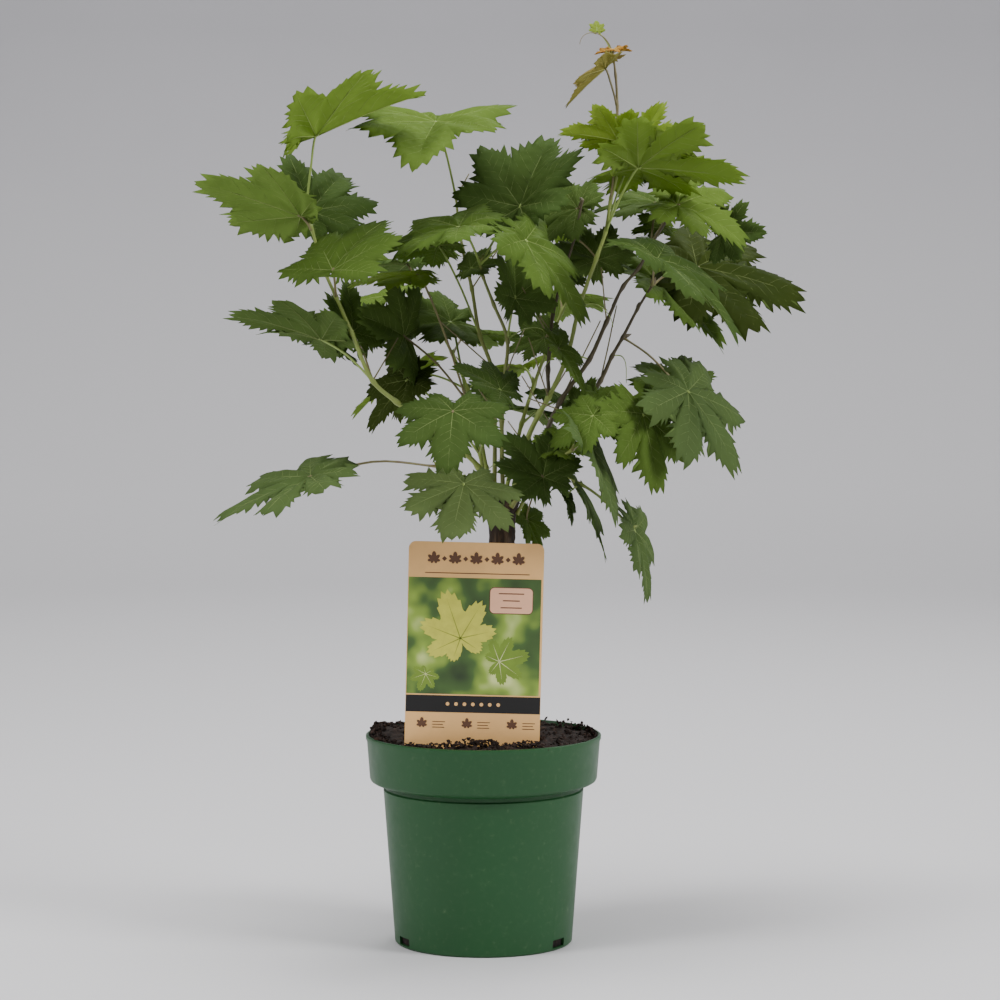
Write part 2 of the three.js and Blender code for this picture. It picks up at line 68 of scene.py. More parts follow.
SHOOTS = {
    "left": {
        "foot": [5, -6, 320],
        "joints": [[28, 205, 70], [34, 205, 40], [46, 205, 35], [24, 205, 40], [38, 205, 65], [28, 205, 65],
                   [18, 200, 65], [32, 215, 70], [14, 205, 70]],
        "radii": [2.8, 1.3],
        "bare": 2.7,
        "leaves": [
            [4, 50, 155, 35, 64, 180, -22, -20, 15, 0.12, "deep", 0.3],
            [4, 58, 110, 35, 38, 95, -75, -40, 15, 0.12, "dark", 0.15],
            [6, 48, 270, 23, 60, 48, -43, -1, 10, 0.12, "mid", -0.05, 0.12],
            [8, 40, 95, 20, 56, 60, -35, -35, 20, 0.12, "deep", 0.15],
            [8, 14, 220, 45, 73, 188, -20, -27, 4, 0, "leaf", 0.05, 0.12, 0.45],
            [9, 54, 305, 75, 78, 9, -24, 11, 24, 0, "fresh", -0.1, 0.65],
        ],
    },
    "inner_left": {
        "foot": [3, 2, 318],
        "joints": [[38, 215, 80], [40, 160, 75]],
        "radii": [2.2, 1.4],
        "bare": 0.7,
        "leaves": [
            [1, 75, 170, 45, 44, 190, 45, 25, 10, 0.12, "ripe", 0.1],
            [1, 75, 285, 40, 36, 180, -35, 25, 15, 0.12, "deep", 0.15],
            [2, 65, 170, 45, 50, 240, -20, 80, 20, 0.12, "dark", 0.1],
            [2, 72, 105, 50, 48, 205, 0, 30, 15, 0.12, "dark", 0.1],
            [2, 97, 200, 68, 48, 182, 0, 7, 4, 0.1, "fresh", 0.2, 0.6],
        ],
    },
    "mid_left": {
        "foot": [8, 2, 326],
        "joints": [[54, 90, 75], [40, 135, 85], [24, 180, 70], [34, 165, 80], [30, 150, 75], [22, 125, 75],
                   [16, 125, 80]],
        "radii": [2.4, 1.2],
        "bare": 2.5,
        "leaves": [
            [3, 72, 180, 65, 42, 190, -10, -20, 0, 0.12, "mid", 0.15],
            [7, 75, 255, 45, 77, 260, 16, 0, 16, 0.1, "leaf", 0],
        ],
    },
    "centre": {
        "foot": [14, 6, 328],
        "joints": [[50, 115, 88], [32, 315, 85], [28, 325, 85], [28, 215, 65], [22, 215, 65], [10, 240, 65]],
        "radii": [2.4, 1.2],
        "bare": 2.5,
        "leaves": [
            [3, 32, 300, 70, 42, 85, -75, -40, 35, 0.12, "dark", 0.15],
            [5, 14, 135, 25, 25, 345, -15, -35, 20, 0.12, "dark", 0.1],
            [6, 62, 255, 25, 66, 170, 10, 15, 10, 0.12, "mid", 0.2],
            [6, 50, 355, 55, 66, 60, -55, -5, 30, 0.12, "deep", 0.0],
            [6, 66, 300, 15, 68, 355, 45, -16, 8, 0.12, "mid", 0.15, 0.7],
        ],
    },
    "tall": {
        "foot": [21, -2, 326],
        "joints": [[40, 350, 75], [22, 345, 65], [14, 345, 60], [32, 345, 65], [36, 335, 75], [38, 340, 70],
                   [20, 340, 70], [22, 335, 80], [18, 330, 75], [50, 70, 88], [22, 125, 85], [16, 165, 82]],
        "radii": [2.9, 0.9],
        "bare": 6.5,
        "ruddy": 9.6,
        "leaves": [
            [7, 62, 5, 70, 40, 320, -60, 10, 15, 0.12, "young", 0.4],
            [7, 55, 315, 55, 72, 5, 0, 30, 20, 0.12, "fresh", 0.5],
            [8, 45, 290, 70, 40, 180, -15, -35, 25, 0.12, "young", 0.3],
            [10, 28, 185, 72, 37, 180, 40, 0, 22, 0.05, "olive", 0.2],
            [12, 5, 20, 20, 9, 10, -5, 15, 25, 0.1, "bronze", 0.3],
            [12, 5, 200, 10, 8, 170, 5, 20, 25, 0.1, "bronze", 0.3],
            [12, 6, 280, 20, 8, 290, 10, -10, 25, 0.1, "bronze", 0.3],
            [12, 20, 165, 55, 7.5, 95, -65, 0, 15, 0.1, "young", 0.2],
        ],
    },
    "second": {
        "foot": [47, -8, 397],
        "joints": [[20, 95, 75], [22, 70, 75], [18, 70, 75], [24, 45, 70], [36, 35, 70], [28, 35, 75]],
        "radii": [2.2, 1.2],
        "bare": 0.75,
        "leaves": [
            [2, 46, 95, 0, 28, 170, 15, 50, 20, 0.12, "dark", 0.15],
            [2, 52, 275, -5, 36, 10, 50, -25, 15, 0.12, "mid", 0.2],
            [4, 24, 120, 30, 30, 350, 15, -30, 15, 0.12, "dark", 0.15],
            [5, 26, 30, -40, 38, 140, -50, 25, 15, 0.12, "dark", 0.2],
            [6, 10, 115, -40, 40, 150, 5, 50, 5, 0.12, "dark", 0.1],
        ],
    },
    "right": {
        "foot": [23, 6, 322],
        "joints": [[47, 5, 65], [32, 10, 65], [36, 5, 55], [30, 10, 65], [28, 0, 65], [18, 350, 50],
                   [18, 335, 60], [34, 335, 55]],
        "radii": [2.8, 1.2],
        "bare": 5.7,
        "leaves": [
            [7, 44, 80, 45, 46, 175, 0, 15, 10, 0.12, "dark", 0.15],
            [7, 36, 335, 55, 52, 345, 15, -30, 25, 0.3, "leaf", 0.3],
            [7, 40, 75, 20, 22, 195, 5, 35, 20, 0.12, "mid", 0.15],
            [8, 46, 30, -25, 32, 320, -5, -75, 20, 0.12, "deep", 0.2],
        ],
    },
    "far_right": {
        "foot": [22, 12, 318],
        "joints": [[58, 15, 53], [52, 10, 55], [20, 0, 65], [16, 345, 60], [25, 315, 55], [25, 305, 45]],
        "radii": [2.5, 1.2],
        "bare": 3.4,
        "leaves": [
            [4, 58, 20, -40, 42, 140, -30, 20, 15, 0.12, "dark", 0.2],
            [5, 42, 65, 25, 64, 0, 35, -20, 15, 0.12, "mid", 0.3],
            [6, 72, 60, 10, 80, 5, 10, -35, 0, 0.1, "ripe", 0.35],
            [6, 72, 270, 15, 75, 350, 30, -5, 15, 0.2, "deep", 0.15],
        ],
    },
    "low_right": {
        "foot": [24, -2, 312],
        "joints": [[38, 350, 58], [30, 10, -22], [21, 15, -35], [28, 15, -45]],
        "radii": [1.9, 1.1],
        "bare": 0.7,
        "leaves": [
            [1, 62, 105, -40, 28, 340, 60, -10, 15, 0.12, "mid", 0.15],
            [2, 22, 105, 0, 58, 330, 55, 25, 10, 0.12, "blue", 0.2],
            [2, 34, 110, -20, 20, 340, 70, 5, 15, 0.12, "blue", 0.15],
            [4, 3, 15, -40, 50, 0, 70, -15, 10, 0.12, "blue", 0.3],
        ],
    },
    "mid_right": {
        "foot": [20, -9, 318],
        "joints": [[38, 330, 47], [30, 325, 30], [26, 340, 45]],
        "radii": [2.4, 1.2],
        "bare": 0.7,
        "leaves": [
            [1, 18, 20, 70, 30, 355, 5, -25, 15, 0.12, "leaf", 0.2],
            [1, 24, 270, -10, 42, 160, -50, 35, 15, 0.12, "deep", 0.1],
            [2, 52, 80, 30, 24, 0, -75, -45, 20, 0.12, "dark", 0.2],
            [2, 36, 285, 10, 58, 340, 60, 10, 10, 0.12, "blue", 0.15],
            [3, 12, 40, 75, 40, 345, 25, -25, 10, 0.12, "mid", 0.15],
            [3, 44, 80, 10, 32, 55, 0, -40, 20, 0.12, "dark", 0.15],
            [3, 48, 265, 10, 35, 190, 30, 35, 5, 0.12, "mid", 0.15],
            [3, 37, 330, 13, 54, 320, 70, 0, 5, 0.1, "mid", 0.25],
            [3, 68, 0, 20, 64, 350, 50, -25, 0, 0.12, "blue", 0.5],
        ],
    },
    "low_left": {
        "foot": [8, -11, 315],
        "joints": [[36, 220, 40], [30, 230, 22]],
        "radii": [1.9, 1.3],
        "bare": 0.7,
        "leaves": [
            [1, 70, 270, 2, 52, 260, 35, 10, -5, 0.05, "pale", 0.5],
            [2, 74, 280, 35, 50, 265, 40, 0, 5, 0.12, "deep", 0.15],
            [2, 102, 210, -2, 68, 185, 20, 10, 5, 0.05, "blue", 0.55],
        ],
    },
    "back_left": {
        "foot": [7, 8, 318],
        "joints": [[30, 110, 60], [32, 110, 60], [32, 120, 60], [30, 140, 60], [30, 155, 60], [26, 165, 60]],
        "radii": [2.4, 1.2],
        "bare": 1.75,
        "seed": 2778,
    },
    "back_right": {
        "foot": [14, 12, 318],
        "joints": [[32, 65, 60], [34, 65, 60], [32, 55, 60], [32, 50, 60], [30, 45, 60], [28, 40, 60],
                   [24, 45, 65]],
        "radii": [2.4, 1.2],
        "bare": 1.7,
        "seed": 3418,
        "fallen": [4],
    },
}
RULE_TONES = ["mid", "leaf", "deep", "fresh"]
BROWN_SHOOTS = {"mid_left", "centre", "mid_right"}
DARK_SHOOTS = {"right", "far_right", "second"}

# Tendrils, and twigs where they have no coils, as [shoot, joint, length, heading, rise, coils]

TENDRILS = [
    ["tall", 12, 36, 165, 70, 0.45],
    ["right", 8, 26, 100, 60, 0.0],
    ["mid_left", 7, 20, 20, 60, 0.0],
    ["left", 7, 22, 320, 55, 0.0],
    ["tall", 5, 45, 300, 20, 0.3],
    ["mid_right", 1, 60, 170, 25, 0.35],
    ["right", 3, 50, 200, 20, 0.3],
    ["far_right", 3, 44, 60, 5, 0.3],
    ["centre", 3, 40, 20, 35, 0.25],
    ["mid_left", 2, 52, 200, 40, 0.0],
    ["mid_left", 4, 40, 20, 55, 0.0],
    ["centre", 2, 46, 60, 50, 0.0],
    ["centre", 1, 58, 190, 55, 0.0],
    ["tall", 3, 62, 250, 45, 0.0],
    ["tall", 2, 58, 40, 50, 0.0],
    ["tall", 4, 50, 160, 55, 0.0],
    ["second", 2, 44, 200, 60, 0.0],
    ["right", 2, 66, 30, 60, 0.0],
    ["right", 4, 42, 250, 70, 0.0],
    ["far_right", 2, 60, 60, 65, 0.0],
    ["far_right", 1, 56, 150, 55, 0.0],
    ["mid_right", 1, 44, 150, 50, 0.0],
    ["mid_right", 3, 52, 170, 20, 0.0],
    ["left", 4, 46, 60, 40, 0.0],
    ["inner_left", 1, 50, 240, 50, 0.0],
    ["back_left", 3, 46, 60, 30, 0.4],
    ["back_right", 4, 44, 110, 30, 0.4],
]

# The leaf's edge: lobe tips and the dips between them as [angle from the tip, share of the length], how much
# of the depth of the cuts each dip takes, and how far the edge lies from the stalk at its notch

LOBES = [[0, 1.0], [50, 0.88], [96, 0.76], [142, 0.5]]
DIPS = [[27, 0.64], [74, 0.57], [120, 0.47], [165, 0.32]]
CUT_SHARES = (1, 0.85, 0.4, 0.2)
NOTCH_SHARE = 0.1
LOBE_POWER = 1.3
CUT_POWER = 2.4


def rgb(code):
    """A colour written as six hex digits, as linear numbers."""
    parts = [int(code[i:i + 2], 16) / 255 for i in (0, 2, 4)]
    return tuple(c / 12.92 if c <= 0.04045 else ((c + 0.055) / 1.055) ** 2.4 for c in parts)


def tint(code, name, description):
    """A colour that a user may change."""
    return FloatVectorProperty(name=name, description=description, subtype="COLOR", size=3, min=0, max=1,
                               default=rgb(code))


def span(metres, name, description):
    """A length that a user may change."""
    return FloatProperty(name=name, description=description, default=metres, min=0,
                         unit="LENGTH", precision=4)


class VinePotSizes(bpy.types.PropertyGroup):
    height: span(0.152, "Pot height", "From the floor to the pot's rim")
    rim_radius: span(0.085, "Rim radius", "Outer radius at the top of the band")
    band_height: span(0.032, "Band height", "Height of the wide band under the rim")
    band_foot_radius: span(0.0825, "Band foot radius", "Outer radius at the foot of the band")
    neck_radius: span(0.073, "Neck radius", "Outer radius just under the band")
    neck_height: span(0.114, "Neck height", "Height of the neck above the floor")
    base_radius: span(0.0645, "Base radius", "Outer radius of the flat underside")
    wall: span(0.0018, "Wall", "Thickness of the pot's wall")
    notch_width: span(0.015, "Notch width", "Width of a drain notch")
    soil_top: span(0.149, "Soil top", "Height of the soil in the middle")
    soil_edge: span(0.145, "Soil edge", "Height of the soil at the wall")
    crumbs: IntProperty(name="Crumbs", description="How many loose crumbs lie on the soil",
                        default=620, min=0)


class VineTagSizes(bpy.types.PropertyGroup):
    width: span(0.096, "Tag width", "Width of the card")
    top: span(0.296, "Tag top", "Height of the card's top edge above the floor")
    shoulder: span(0.1506, "Tag shoulder", "Height of the card's lower edge above the floor")
    foot_width: span(0.060, "Tag foot width", "Width of the part in the soil")
    foot_height: span(0.124, "Tag foot height", "Height of the foot's end above the floor")
    corner: span(0.005, "Tag corner", "Radius of the upper corners")
    thickness: span(0.0012, "Tag thickness", "Thickness of the card")
    head_band: span(0.0254, "Head band", "Height of the plain band over the picture")
    picture: span(0.0830, "Picture", "Height of the picture field")
    dark_band: span(0.0120, "Dark band", "Height of the dark band under the picture")


class VineLeafSizes(bpy.types.PropertyGroup):
    thickness: span(0.00045, "Blade thickness", "Thickness of a leaf blade")
    tooth_share: FloatProperty(name="Tooth height",
                               description="Height of a tooth as a share of the leaf's length",
                               default=0.075, min=0, max=0.2)
    tooth_pitch: FloatProperty(name="Tooth pitch",
                               description="Spacing of teeth as a share of the leaf's length",
                               default=0.095, min=0.03, max=0.3)
    vein_width: span(0.0009, "Vein width", "Width of a main vein at the junction")
    stalk_radius: span(0.00085, "Stalk radius", "Radius of a leaf stalk")


class VineColours(bpy.types.PropertyGroup):
    pot: tint("1b4a24", "Pot", "The pot's green plastic")
    soil: tint("281b14", "Soil", "Damp dark peat")
    soil_light: tint("5a4030", "Soil crumbs", "Dry crumbs of the peat")
    card: tint("e9b775", "Card", "The tag's plain card")
    card_dark: tint("0b0908", "Dark band", "The tag's dark band")
    card_mark: tint("5b3a24", "Marks", "Small marks on the card")
    bark: tint("33271d", "Bark", "Old bark of the trunk")
    cane_green: tint("8a9a48", "Green cane", "Soft green shoot")
    cane_brown: tint("65603a", "Brown cane", "Shoot that turns from green to brown")
    cane_dark: tint("42362b", "Dark cane", "Ripe dark shoot")
    stalk_green: tint("8fa552", "Green stalk", "Pale green leaf stalk")
    stalk_red: tint("6f5a44", "Red stalk", "Reddish leaf stalk")
    young: tint("8fa341", "Young leaf", "Thin leaf that the light comes through")
    fresh: tint("708837", "Fresh leaf", "Bright green leaf")
    leaf: tint("607a33", "Bright leaf", "Leaf between the fresh and the full ones")
    mid: tint("4f682b", "Leaf", "Full green leaf")
    deep: tint("3f562a", "Deep leaf", "Darker green leaf")
    # Painted light: the tone of the old leaves inside the crown, lifted above the deep tone to offset the shade
    # there
    dark: tint("4a612e", "Dark leaf", "Old leaf inside the crown")
    # Painted shade: a copy of the leaf colour darkened for leaves turned away from the lamps
    ripe: tint("283613", "Ripe leaf", "Darkest leaf of the crown")
    blue: tint("4f643b", "Blue leaf", "Dull blue-green leaf low on the plant")
    # Painted light: a copy of the blue-green leaf colour, lightened for a low front leaf that lies in the shade
    # of the leaf above it
    pale: tint("5c6e42", "Pale leaf", "Pale leaf low at the front")
    olive: tint("8a7a48", "Olive leaf", "Folded young leaf near the tip")
    bronze: tint("b07b35", "Bronze leaf", "Leaflet that has just opened")


GROUPS = {"pot": VinePotSizes, "tag": VineTagSizes, "leaf": VineLeafSizes, "colours": VineColours}


def settings(group):
    """One of the scene's property groups."""
    return getattr(bpy.context.scene, "vine_" + group)


# Shader maths


class Wire:
    """A shader socket that can be reckoned with like a number."""

    def __init__(self, finish, socket):
        self.finish = finish
        self.socket = socket

    def reckon(self, operation, first, second):
        return self.finish.node("ShaderNodeMath", {"operation": operation}, {0: first, 1: second})

    def __add__(self, other):
        return self.reckon("ADD", self, other)

    def __sub__(self, other):
        return self.reckon("SUBTRACT", self, other)

    def __rsub__(self, other):
        return self.reckon("SUBTRACT", other, self)

    def __mul__(self, other):
        return self.reckon("MULTIPLY", self, other)

    def __pow__(self, other):
        return self.reckon("POWER", self, other)

    def __rpow__(self, other):
        return self.reckon("POWER", other, self)

    __radd__ = __add__
    __rmul__ = __mul__


class Finish:
    """A material under construction."""

    def __init__(self, name):
        self.material = bpy.data.materials.new(name)
        self.material.use_nodes = True
        self.tree = self.material.node_tree
        self.tree.nodes.clear()

    def node(self, kind, options=None, sockets=None, output=0):
        """A node with its settings, then the values or links of its sockets."""
        made = self.tree.nodes.new(kind)
        options = dict(options or {})
        stops = options.pop("stops", None)
        for key, value in options.items():
            setattr(made, key, value)
        if stops:
            ramp = made.color_ramp.elements
            while len(ramp) < len(stops):
                ramp.new(0.5)
            for element, (place, colour) in zip(ramp, stops):
                element.position = place
                element.color = (*colour, 1)
        for key, value in (sockets or {}).items():
            if isinstance(value, Wire):
                self.tree.links.new(value.socket, made.inputs[key])
            elif isinstance(value, tuple) and len(value) == 3 and len(made.inputs[key].default_value) == 4:
                made.inputs[key].default_value = (*value, 1)
            else:
                made.inputs[key].default_value = value
        return Wire(self, made.outputs[output]) if made.outputs else None

    def place(self, stretch=(1, 1, 1)):
        """The place on the object, stretched."""
        where = self.node("ShaderNodeTexCoord", output=3)
        return self.node("ShaderNodeMapping", None, {"Vector": where, "Scale": stretch})

    def cloud(self, scale, detail=2.0, stretch=(1, 1, 1)):
        return self.node("ShaderNodeTexNoise", None,
                         {"Vector": self.place(stretch), "Scale": scale, "Detail": detail})

    def blend(self, factor, first, second):
        return self.node("ShaderNodeMix", {"data_type": "RGBA"}, {0: factor, 6: first, 7: second}, output=2)

    def ramp(self, factor, stops):
        return self.node("ShaderNodeValToRGB", {"stops": stops}, {0: factor})

    def bump(self, height, strength, distance):
        sockets = {"Height": height, "Strength": strength, "Distance": distance}
        return self.node("ShaderNodeBump", None, sockets)

    def shade(self, through=None, share=0.0, **sockets):
        """The ended material: a Principled shader, mixed with light that comes through where asked."""
        named = {key.replace("_", " "): value for key, value in sockets.items()}
        body = self.node("ShaderNodeBsdfPrincipled", None, named)
        if through:
            glow = self.node("ShaderNodeBsdfTranslucent", None, {"Color": through})
            body = self.node("ShaderNodeMixShader", None, {0: share, 1: body, 2: glow})
        self.node("ShaderNodeOutputMaterial", None, {"Surface": body})
        return self.material


def times(colour, factor):
    """A colour made darker or lighter."""
    return tuple(min(1.0, c * factor) for c in colour)


def between(first, second, share):
    """The colour a share of the way from the first to the second."""
    return tuple(a + (b - a) * share for a, b in zip(first, second))


MADE = {}


def once(name, maker):
    """A material by name, made the first time it is asked for."""
    if name not in MADE:
        MADE[name] = maker(name)
    return MADE[name]


# Leaves that let more light through, and the fixed colours of leaves, bark, pot and picture

THIN_TONES = ("young", "fresh", "olive", "bronze")
LEAF_GLOW = rgb("a0b04c")
VEIN_PALE = rgb("b9c77e")
UNDER_PALE = rgb("78904f")
LEAF_PATCH = rgb("8e9a34")
LEAF_GLOSS = 0.05
BARK_STRAND = rgb("7b6852")
POT_DUST = rgb("6a7f5c")
PICTURE_BLUR = [(0.3, rgb("26351b")), (0.48, rgb("42602a")), (0.6, rgb("86a23c")), (0.72, rgb("cdd98a"))]


def leaf_finish(tone, face):
    """The upper face, the under face or the veins of a leaf, with some light coming through."""
    base = tuple(getattr(settings("colours"), tone))
    upper = face == "top"

    def make(name):
        finish = Finish(name)
        glow = between(times(base, 1.7), LEAF_GLOW, 0.3)
        speck = finish.cloud(55, 4)
        if face == "vein":
            pale = between(times(base, 1.6), VEIN_PALE, 0.45)
            colour = finish.blend(speck, times(pale, 0.85), times(pale, 1.15))
            return finish.shade(through=glow, share=0.3, Base_Color=colour, Roughness=0.7,
                                Specular_IOR_Level=LEAF_GLOSS)
        skin = base if upper else between(times(base, 1.25), UNDER_PALE, 0.25)
        colour = finish.blend(speck, times(skin, 0.7), times(skin, 1.3))
        patch = finish.cloud(16, 2)
        colour = finish.blend(patch * 0.5, colour, between(times(skin, 1.2), LEAF_PATCH, 0.2))
        pucker = finish.node("ShaderNodeTexVoronoi", {"feature": "SMOOTH_F1"},
                             {"Vector": finish.place(), "Scale": 190})
        relief = finish.bump(pucker, 0.55 if upper else 0.35, 0.0016)
        return finish.shade(through=glow, share=0.42 if tone in THIN_TONES else 0.3, Base_Color=colour,
                            Normal=relief, Roughness=0.65 if upper else 0.8, Specular_IOR_Level=LEAF_GLOSS)

    return once("leaf_" + tone + "_" + face, make)


def stem_finish(kind):
    """Streaked skin of a cane or a stalk."""
    colours = settings("colours")
    first, second = {
        "cane_green": (colours.cane_green, times(colours.cane_green, 0.72)),
        "cane_brown": (colours.cane_brown, colours.cane_green),
        "cane_dark": (colours.cane_dark, between(tuple(colours.cane_dark), tuple(colours.cane_brown), 0.6)),
        "stalk_green": (colours.stalk_green, times(colours.stalk_green, 0.8)),
        "stalk_red": (colours.stalk_red, between(tuple(colours.stalk_red), tuple(colours.stalk_green), 0.4)),
    }[kind]

    def make(name):
        finish = Finish(name)
        streak = finish.cloud(60, 3, (3, 3, 0.5))
        colour = finish.blend(streak, tuple(first), tuple(second))
        relief = finish.bump(finish.cloud(500, 2, (1, 1, 0.15)), 0.3, 0.0004)
        return finish.shade(Base_Color=colour, Roughness=0.5, Normal=relief)

    return once(kind, make)


def bark_finish():
    """Stringy bark of the trunk."""
    colours = settings("colours")

    def make(name):
        finish = Finish(name)
        strand = finish.cloud(220, 5, (1, 1, 0.16))
        dark = times(tuple(colours.bark), 0.45)
        light = between(tuple(colours.bark), BARK_STRAND, 0.5)
        colour = finish.ramp(strand, [(0.32, dark), (0.5, tuple(colours.bark)), (0.7, light)])
        relief = finish.bump(strand, 0.8, 0.0015)
        return finish.shade(Base_Color=colour, Roughness=0.88, Normal=relief)

    return once("bark", make)


def plastic_finish():
    """The pot's plastic, with a little dust."""
    colour = tuple(settings("colours").pot)

    def make(name):
        finish = Finish(name)
        film = finish.cloud(14, 4)
        dust = finish.cloud(240, 3)
        skin = finish.blend(film, times(colour, 0.9), times(colour, 1.08))
        skin = finish.blend((dust ** 9.0) * 2.0, skin, POT_DUST)
        rough = finish.cloud(90, 2) * 0.16 + 0.38
        relief = finish.bump(finish.cloud(1200, 1), 0.12, 0.0002)
        return finish.shade(Base_Color=skin, Roughness=rough, Normal=relief, Specular_IOR_Level=0.35)

    return once("pot_plastic", make)


def peat_finish(name, lift):
    """Grainy peat, lighter with more lift."""
    colours = settings("colours")

    def make(own):
        finish = Finish(own)
        grain = finish.cloud(260, 6)
        dark = times(tuple(colours.soil), 0.5 * lift)
        light = between(tuple(colours.soil), tuple(colours.soil_light), 0.5 * lift)
        colour = finish.ramp(grain, [(0.35, dark), (0.55, times(tuple(colours.soil), lift)), (0.72, light)])
        return finish.shade(Base_Color=colour, Roughness=0.95, Normal=finish.bump(grain, 0.9, 0.002))

    return once(name, make)


def card_finish(name, colour, spread=0.06):
    """Card or print, its colour varied by the spread."""

    def make(own):
        finish = Finish(own)
        fibre = finish.cloud(160, 4)
        skin = finish.blend(fibre, times(colour, 1 - spread), times(colour, 1 + spread))
        return finish.shade(Base_Color=skin, Roughness=0.48, Normal=finish.bump(fibre, 0.1, 0.0003))

    return once(name, make)


def picture_finish():
    """The picture field's blurred greens."""

    def make(name):
        finish = Finish(name)
        return finish.shade(Base_Color=finish.ramp(finish.cloud(34, 2), PICTURE_BLUR), Roughness=0.45)

    return once("tag_picture", make)


# Pieces


def dress(piece, slot, *replaced):
    """Gives a finished piece its body and hides the solids that it stands for. The slot is not used."""
    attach(piece, "root")
    if replaced:
        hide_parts(*replaced)


def keep(name, mesh, materials):
    """A mesh linked as a piece, with its materials."""
    for material in materials:
        mesh.materials.append(material)
    piece = bpy.data.objects.new(name, mesh)
    bpy.context.scene.collection.objects.link(piece)
    return piece


def from_bmesh(name, bm, materials, smooth=True):
    """A piece made of a bmesh, which ends."""
    for face in bm.faces:
        face.smooth = smooth
    mesh = bpy.data.meshes.new(name)
    bm.to_mesh(mesh)
    bm.free()
    return keep(name, mesh, materials)


class Heap:
    """Many small shells gathered into one mesh."""

    def __init__(self):
        self.points = []
        self.faces = []
        self.slots = []
        self.count = 0
        self.materials = []

    def slot(self, material):
        if material not in self.materials:
            self.materials.append(material)
        return self.materials.index(material)

    def add(self, points, *parts):
        """Takes a shell's points, and its parts as (material, arrays of faces), from its first point on."""
        self.points.append(np.asarray(points, float))
        for material, groups in parts:
            for group in groups:
                self.faces.append(group + self.count)
                self.slots.append(np.full(len(group), self.slot(material)))
        self.count += len(points)

    def piece(self, name, smooth=True):
        """All the shells as one piece."""
        sizes = np.concatenate([np.full(len(group), group.shape[1]) for group in self.faces])
        mesh = bpy.data.meshes.new(name)
        mesh.vertices.add(self.count)
        mesh.vertices.foreach_set("co", (np.concatenate(self.points) * MM).ravel())
        mesh.loops.add(int(sizes.sum()))
        mesh.loops.foreach_set("vertex_index", np.concatenate([group.ravel() for group in self.faces]))
        mesh.polygons.add(len(sizes))
        mesh.polygons.foreach_set("loop_start", np.concatenate([[0], np.cumsum(sizes)[:-1]]))
        mesh.polygons.foreach_set("use_smooth", np.full(len(sizes), smooth))
        mesh.polygons.foreach_set("material_index", np.concatenate(self.slots))
        mesh.update(calc_edges=True)
        mesh.validate()
        return keep(name, mesh, self.materials)


def aim(heading, rise):
    """A direction of length one, by its heading and rise in degrees."""
    level = math.cos(math.radians(rise))
    return np.array([level * math.cos(math.radians(heading)), level * math.sin(math.radians(heading)),
                     math.sin(math.radians(rise))])


# A direction that no limb starts in, and how far a limb's end stands out as a share of its radius

ODD_WAY = [0.31, 0.87, 0.17]
DOME = 0.8


class Path:
    """The same centripetal curve through points as the solids use, read by the count of points."""

    def __init__(self, points):
        self.points = np.array(points, float)

    def at(self, count):
        points = self.points
        last = len(points) - 1
        i = min(int(count), last - 1)
        w = count - i
        before = points[i - 1] if i else 2 * points[0] - points[1]
        after = points[i + 2] if i + 2 <= last else 2 * points[last] - points[last - 1]
        p = [before, points[i], points[i + 1], after]
        d = [max(np.linalg.norm(p[k + 1] - p[k]), 1e-4) ** 0.5 for k in range(3)]
        m1 = ((p[1] - p[0]) / d[0] - (p[2] - p[0]) / (d[0] + d[1]) + (p[2] - p[1]) / d[1]) * d[1]
        m2 = ((p[2] - p[1]) / d[1] - (p[3] - p[1]) / (d[1] + d[2]) + (p[3] - p[2]) / d[2]) * d[1]
        c2 = 3 * (p[2] - p[1]) - 2 * m1 - m2
        c3 = 2 * (p[1] - p[2]) + m1 + m2
        return p[1] + m1 * w + c2 * w * w + c3 * w ** 3

    def run(self, counts):
        return np.array([self.at(count) for count in counts])


def frames(line):
    """Two sideways directions at each point of a line, turned as little as can be."""
    along = np.gradient(line, axis=0)
    along /= np.linalg.norm(along, axis=1)[:, None]
    side = np.cross(ODD_WAY, along[0])
    sides = []
    for direction in along:
        side = side - direction * side.dot(direction)
        side /= np.linalg.norm(side)
        sides.append(side)
    sides = np.array(sides)
    return sides, np.cross(along, sides)


def walls_between(rows, sides):
    """Faces between each ring of points and the next, for rings of so many sides."""
    row, here = np.meshgrid(np.arange(rows - 1), np.arange(sides), indexing="ij")
    beside = (here + 1) % sides
    low, high = row * sides, (row + 1) * sides
    return np.stack([low + here, low + beside, high + beside, high + here], -1).reshape(-1, 4)


def tube(heap, line, radii, sides, material):
    """A round closed limb along a line."""
    side, over = frames(line)
    turn = np.arange(sides) * 2 * math.pi / sides
    ring = np.cos(turn)[None, :, None] * side[:, None] + np.sin(turn)[None, :, None] * over[:, None]
    radii = np.asarray(radii, float)
    points = (line[:, None] + ring * radii[:, None, None]).reshape(-1, 3)
    along = line[-1] - line[-2]
    along /= np.linalg.norm(along)
    foot_hub = len(points)
    last = foot_hub - sides
    points = np.vstack([points, line[0], line[-1] + along * radii[-1] * DOME])
    here = np.arange(sides)
    beside = (here + 1) % sides
    foot = np.stack([np.full(sides, foot_hub), beside, here], -1)
    head = np.stack([np.full(sides, foot_hub + 1), last + here, last + beside], -1)
    heap.add(points, (material, [walls_between(len(line), sides), foot, head]))


# Leaf blades


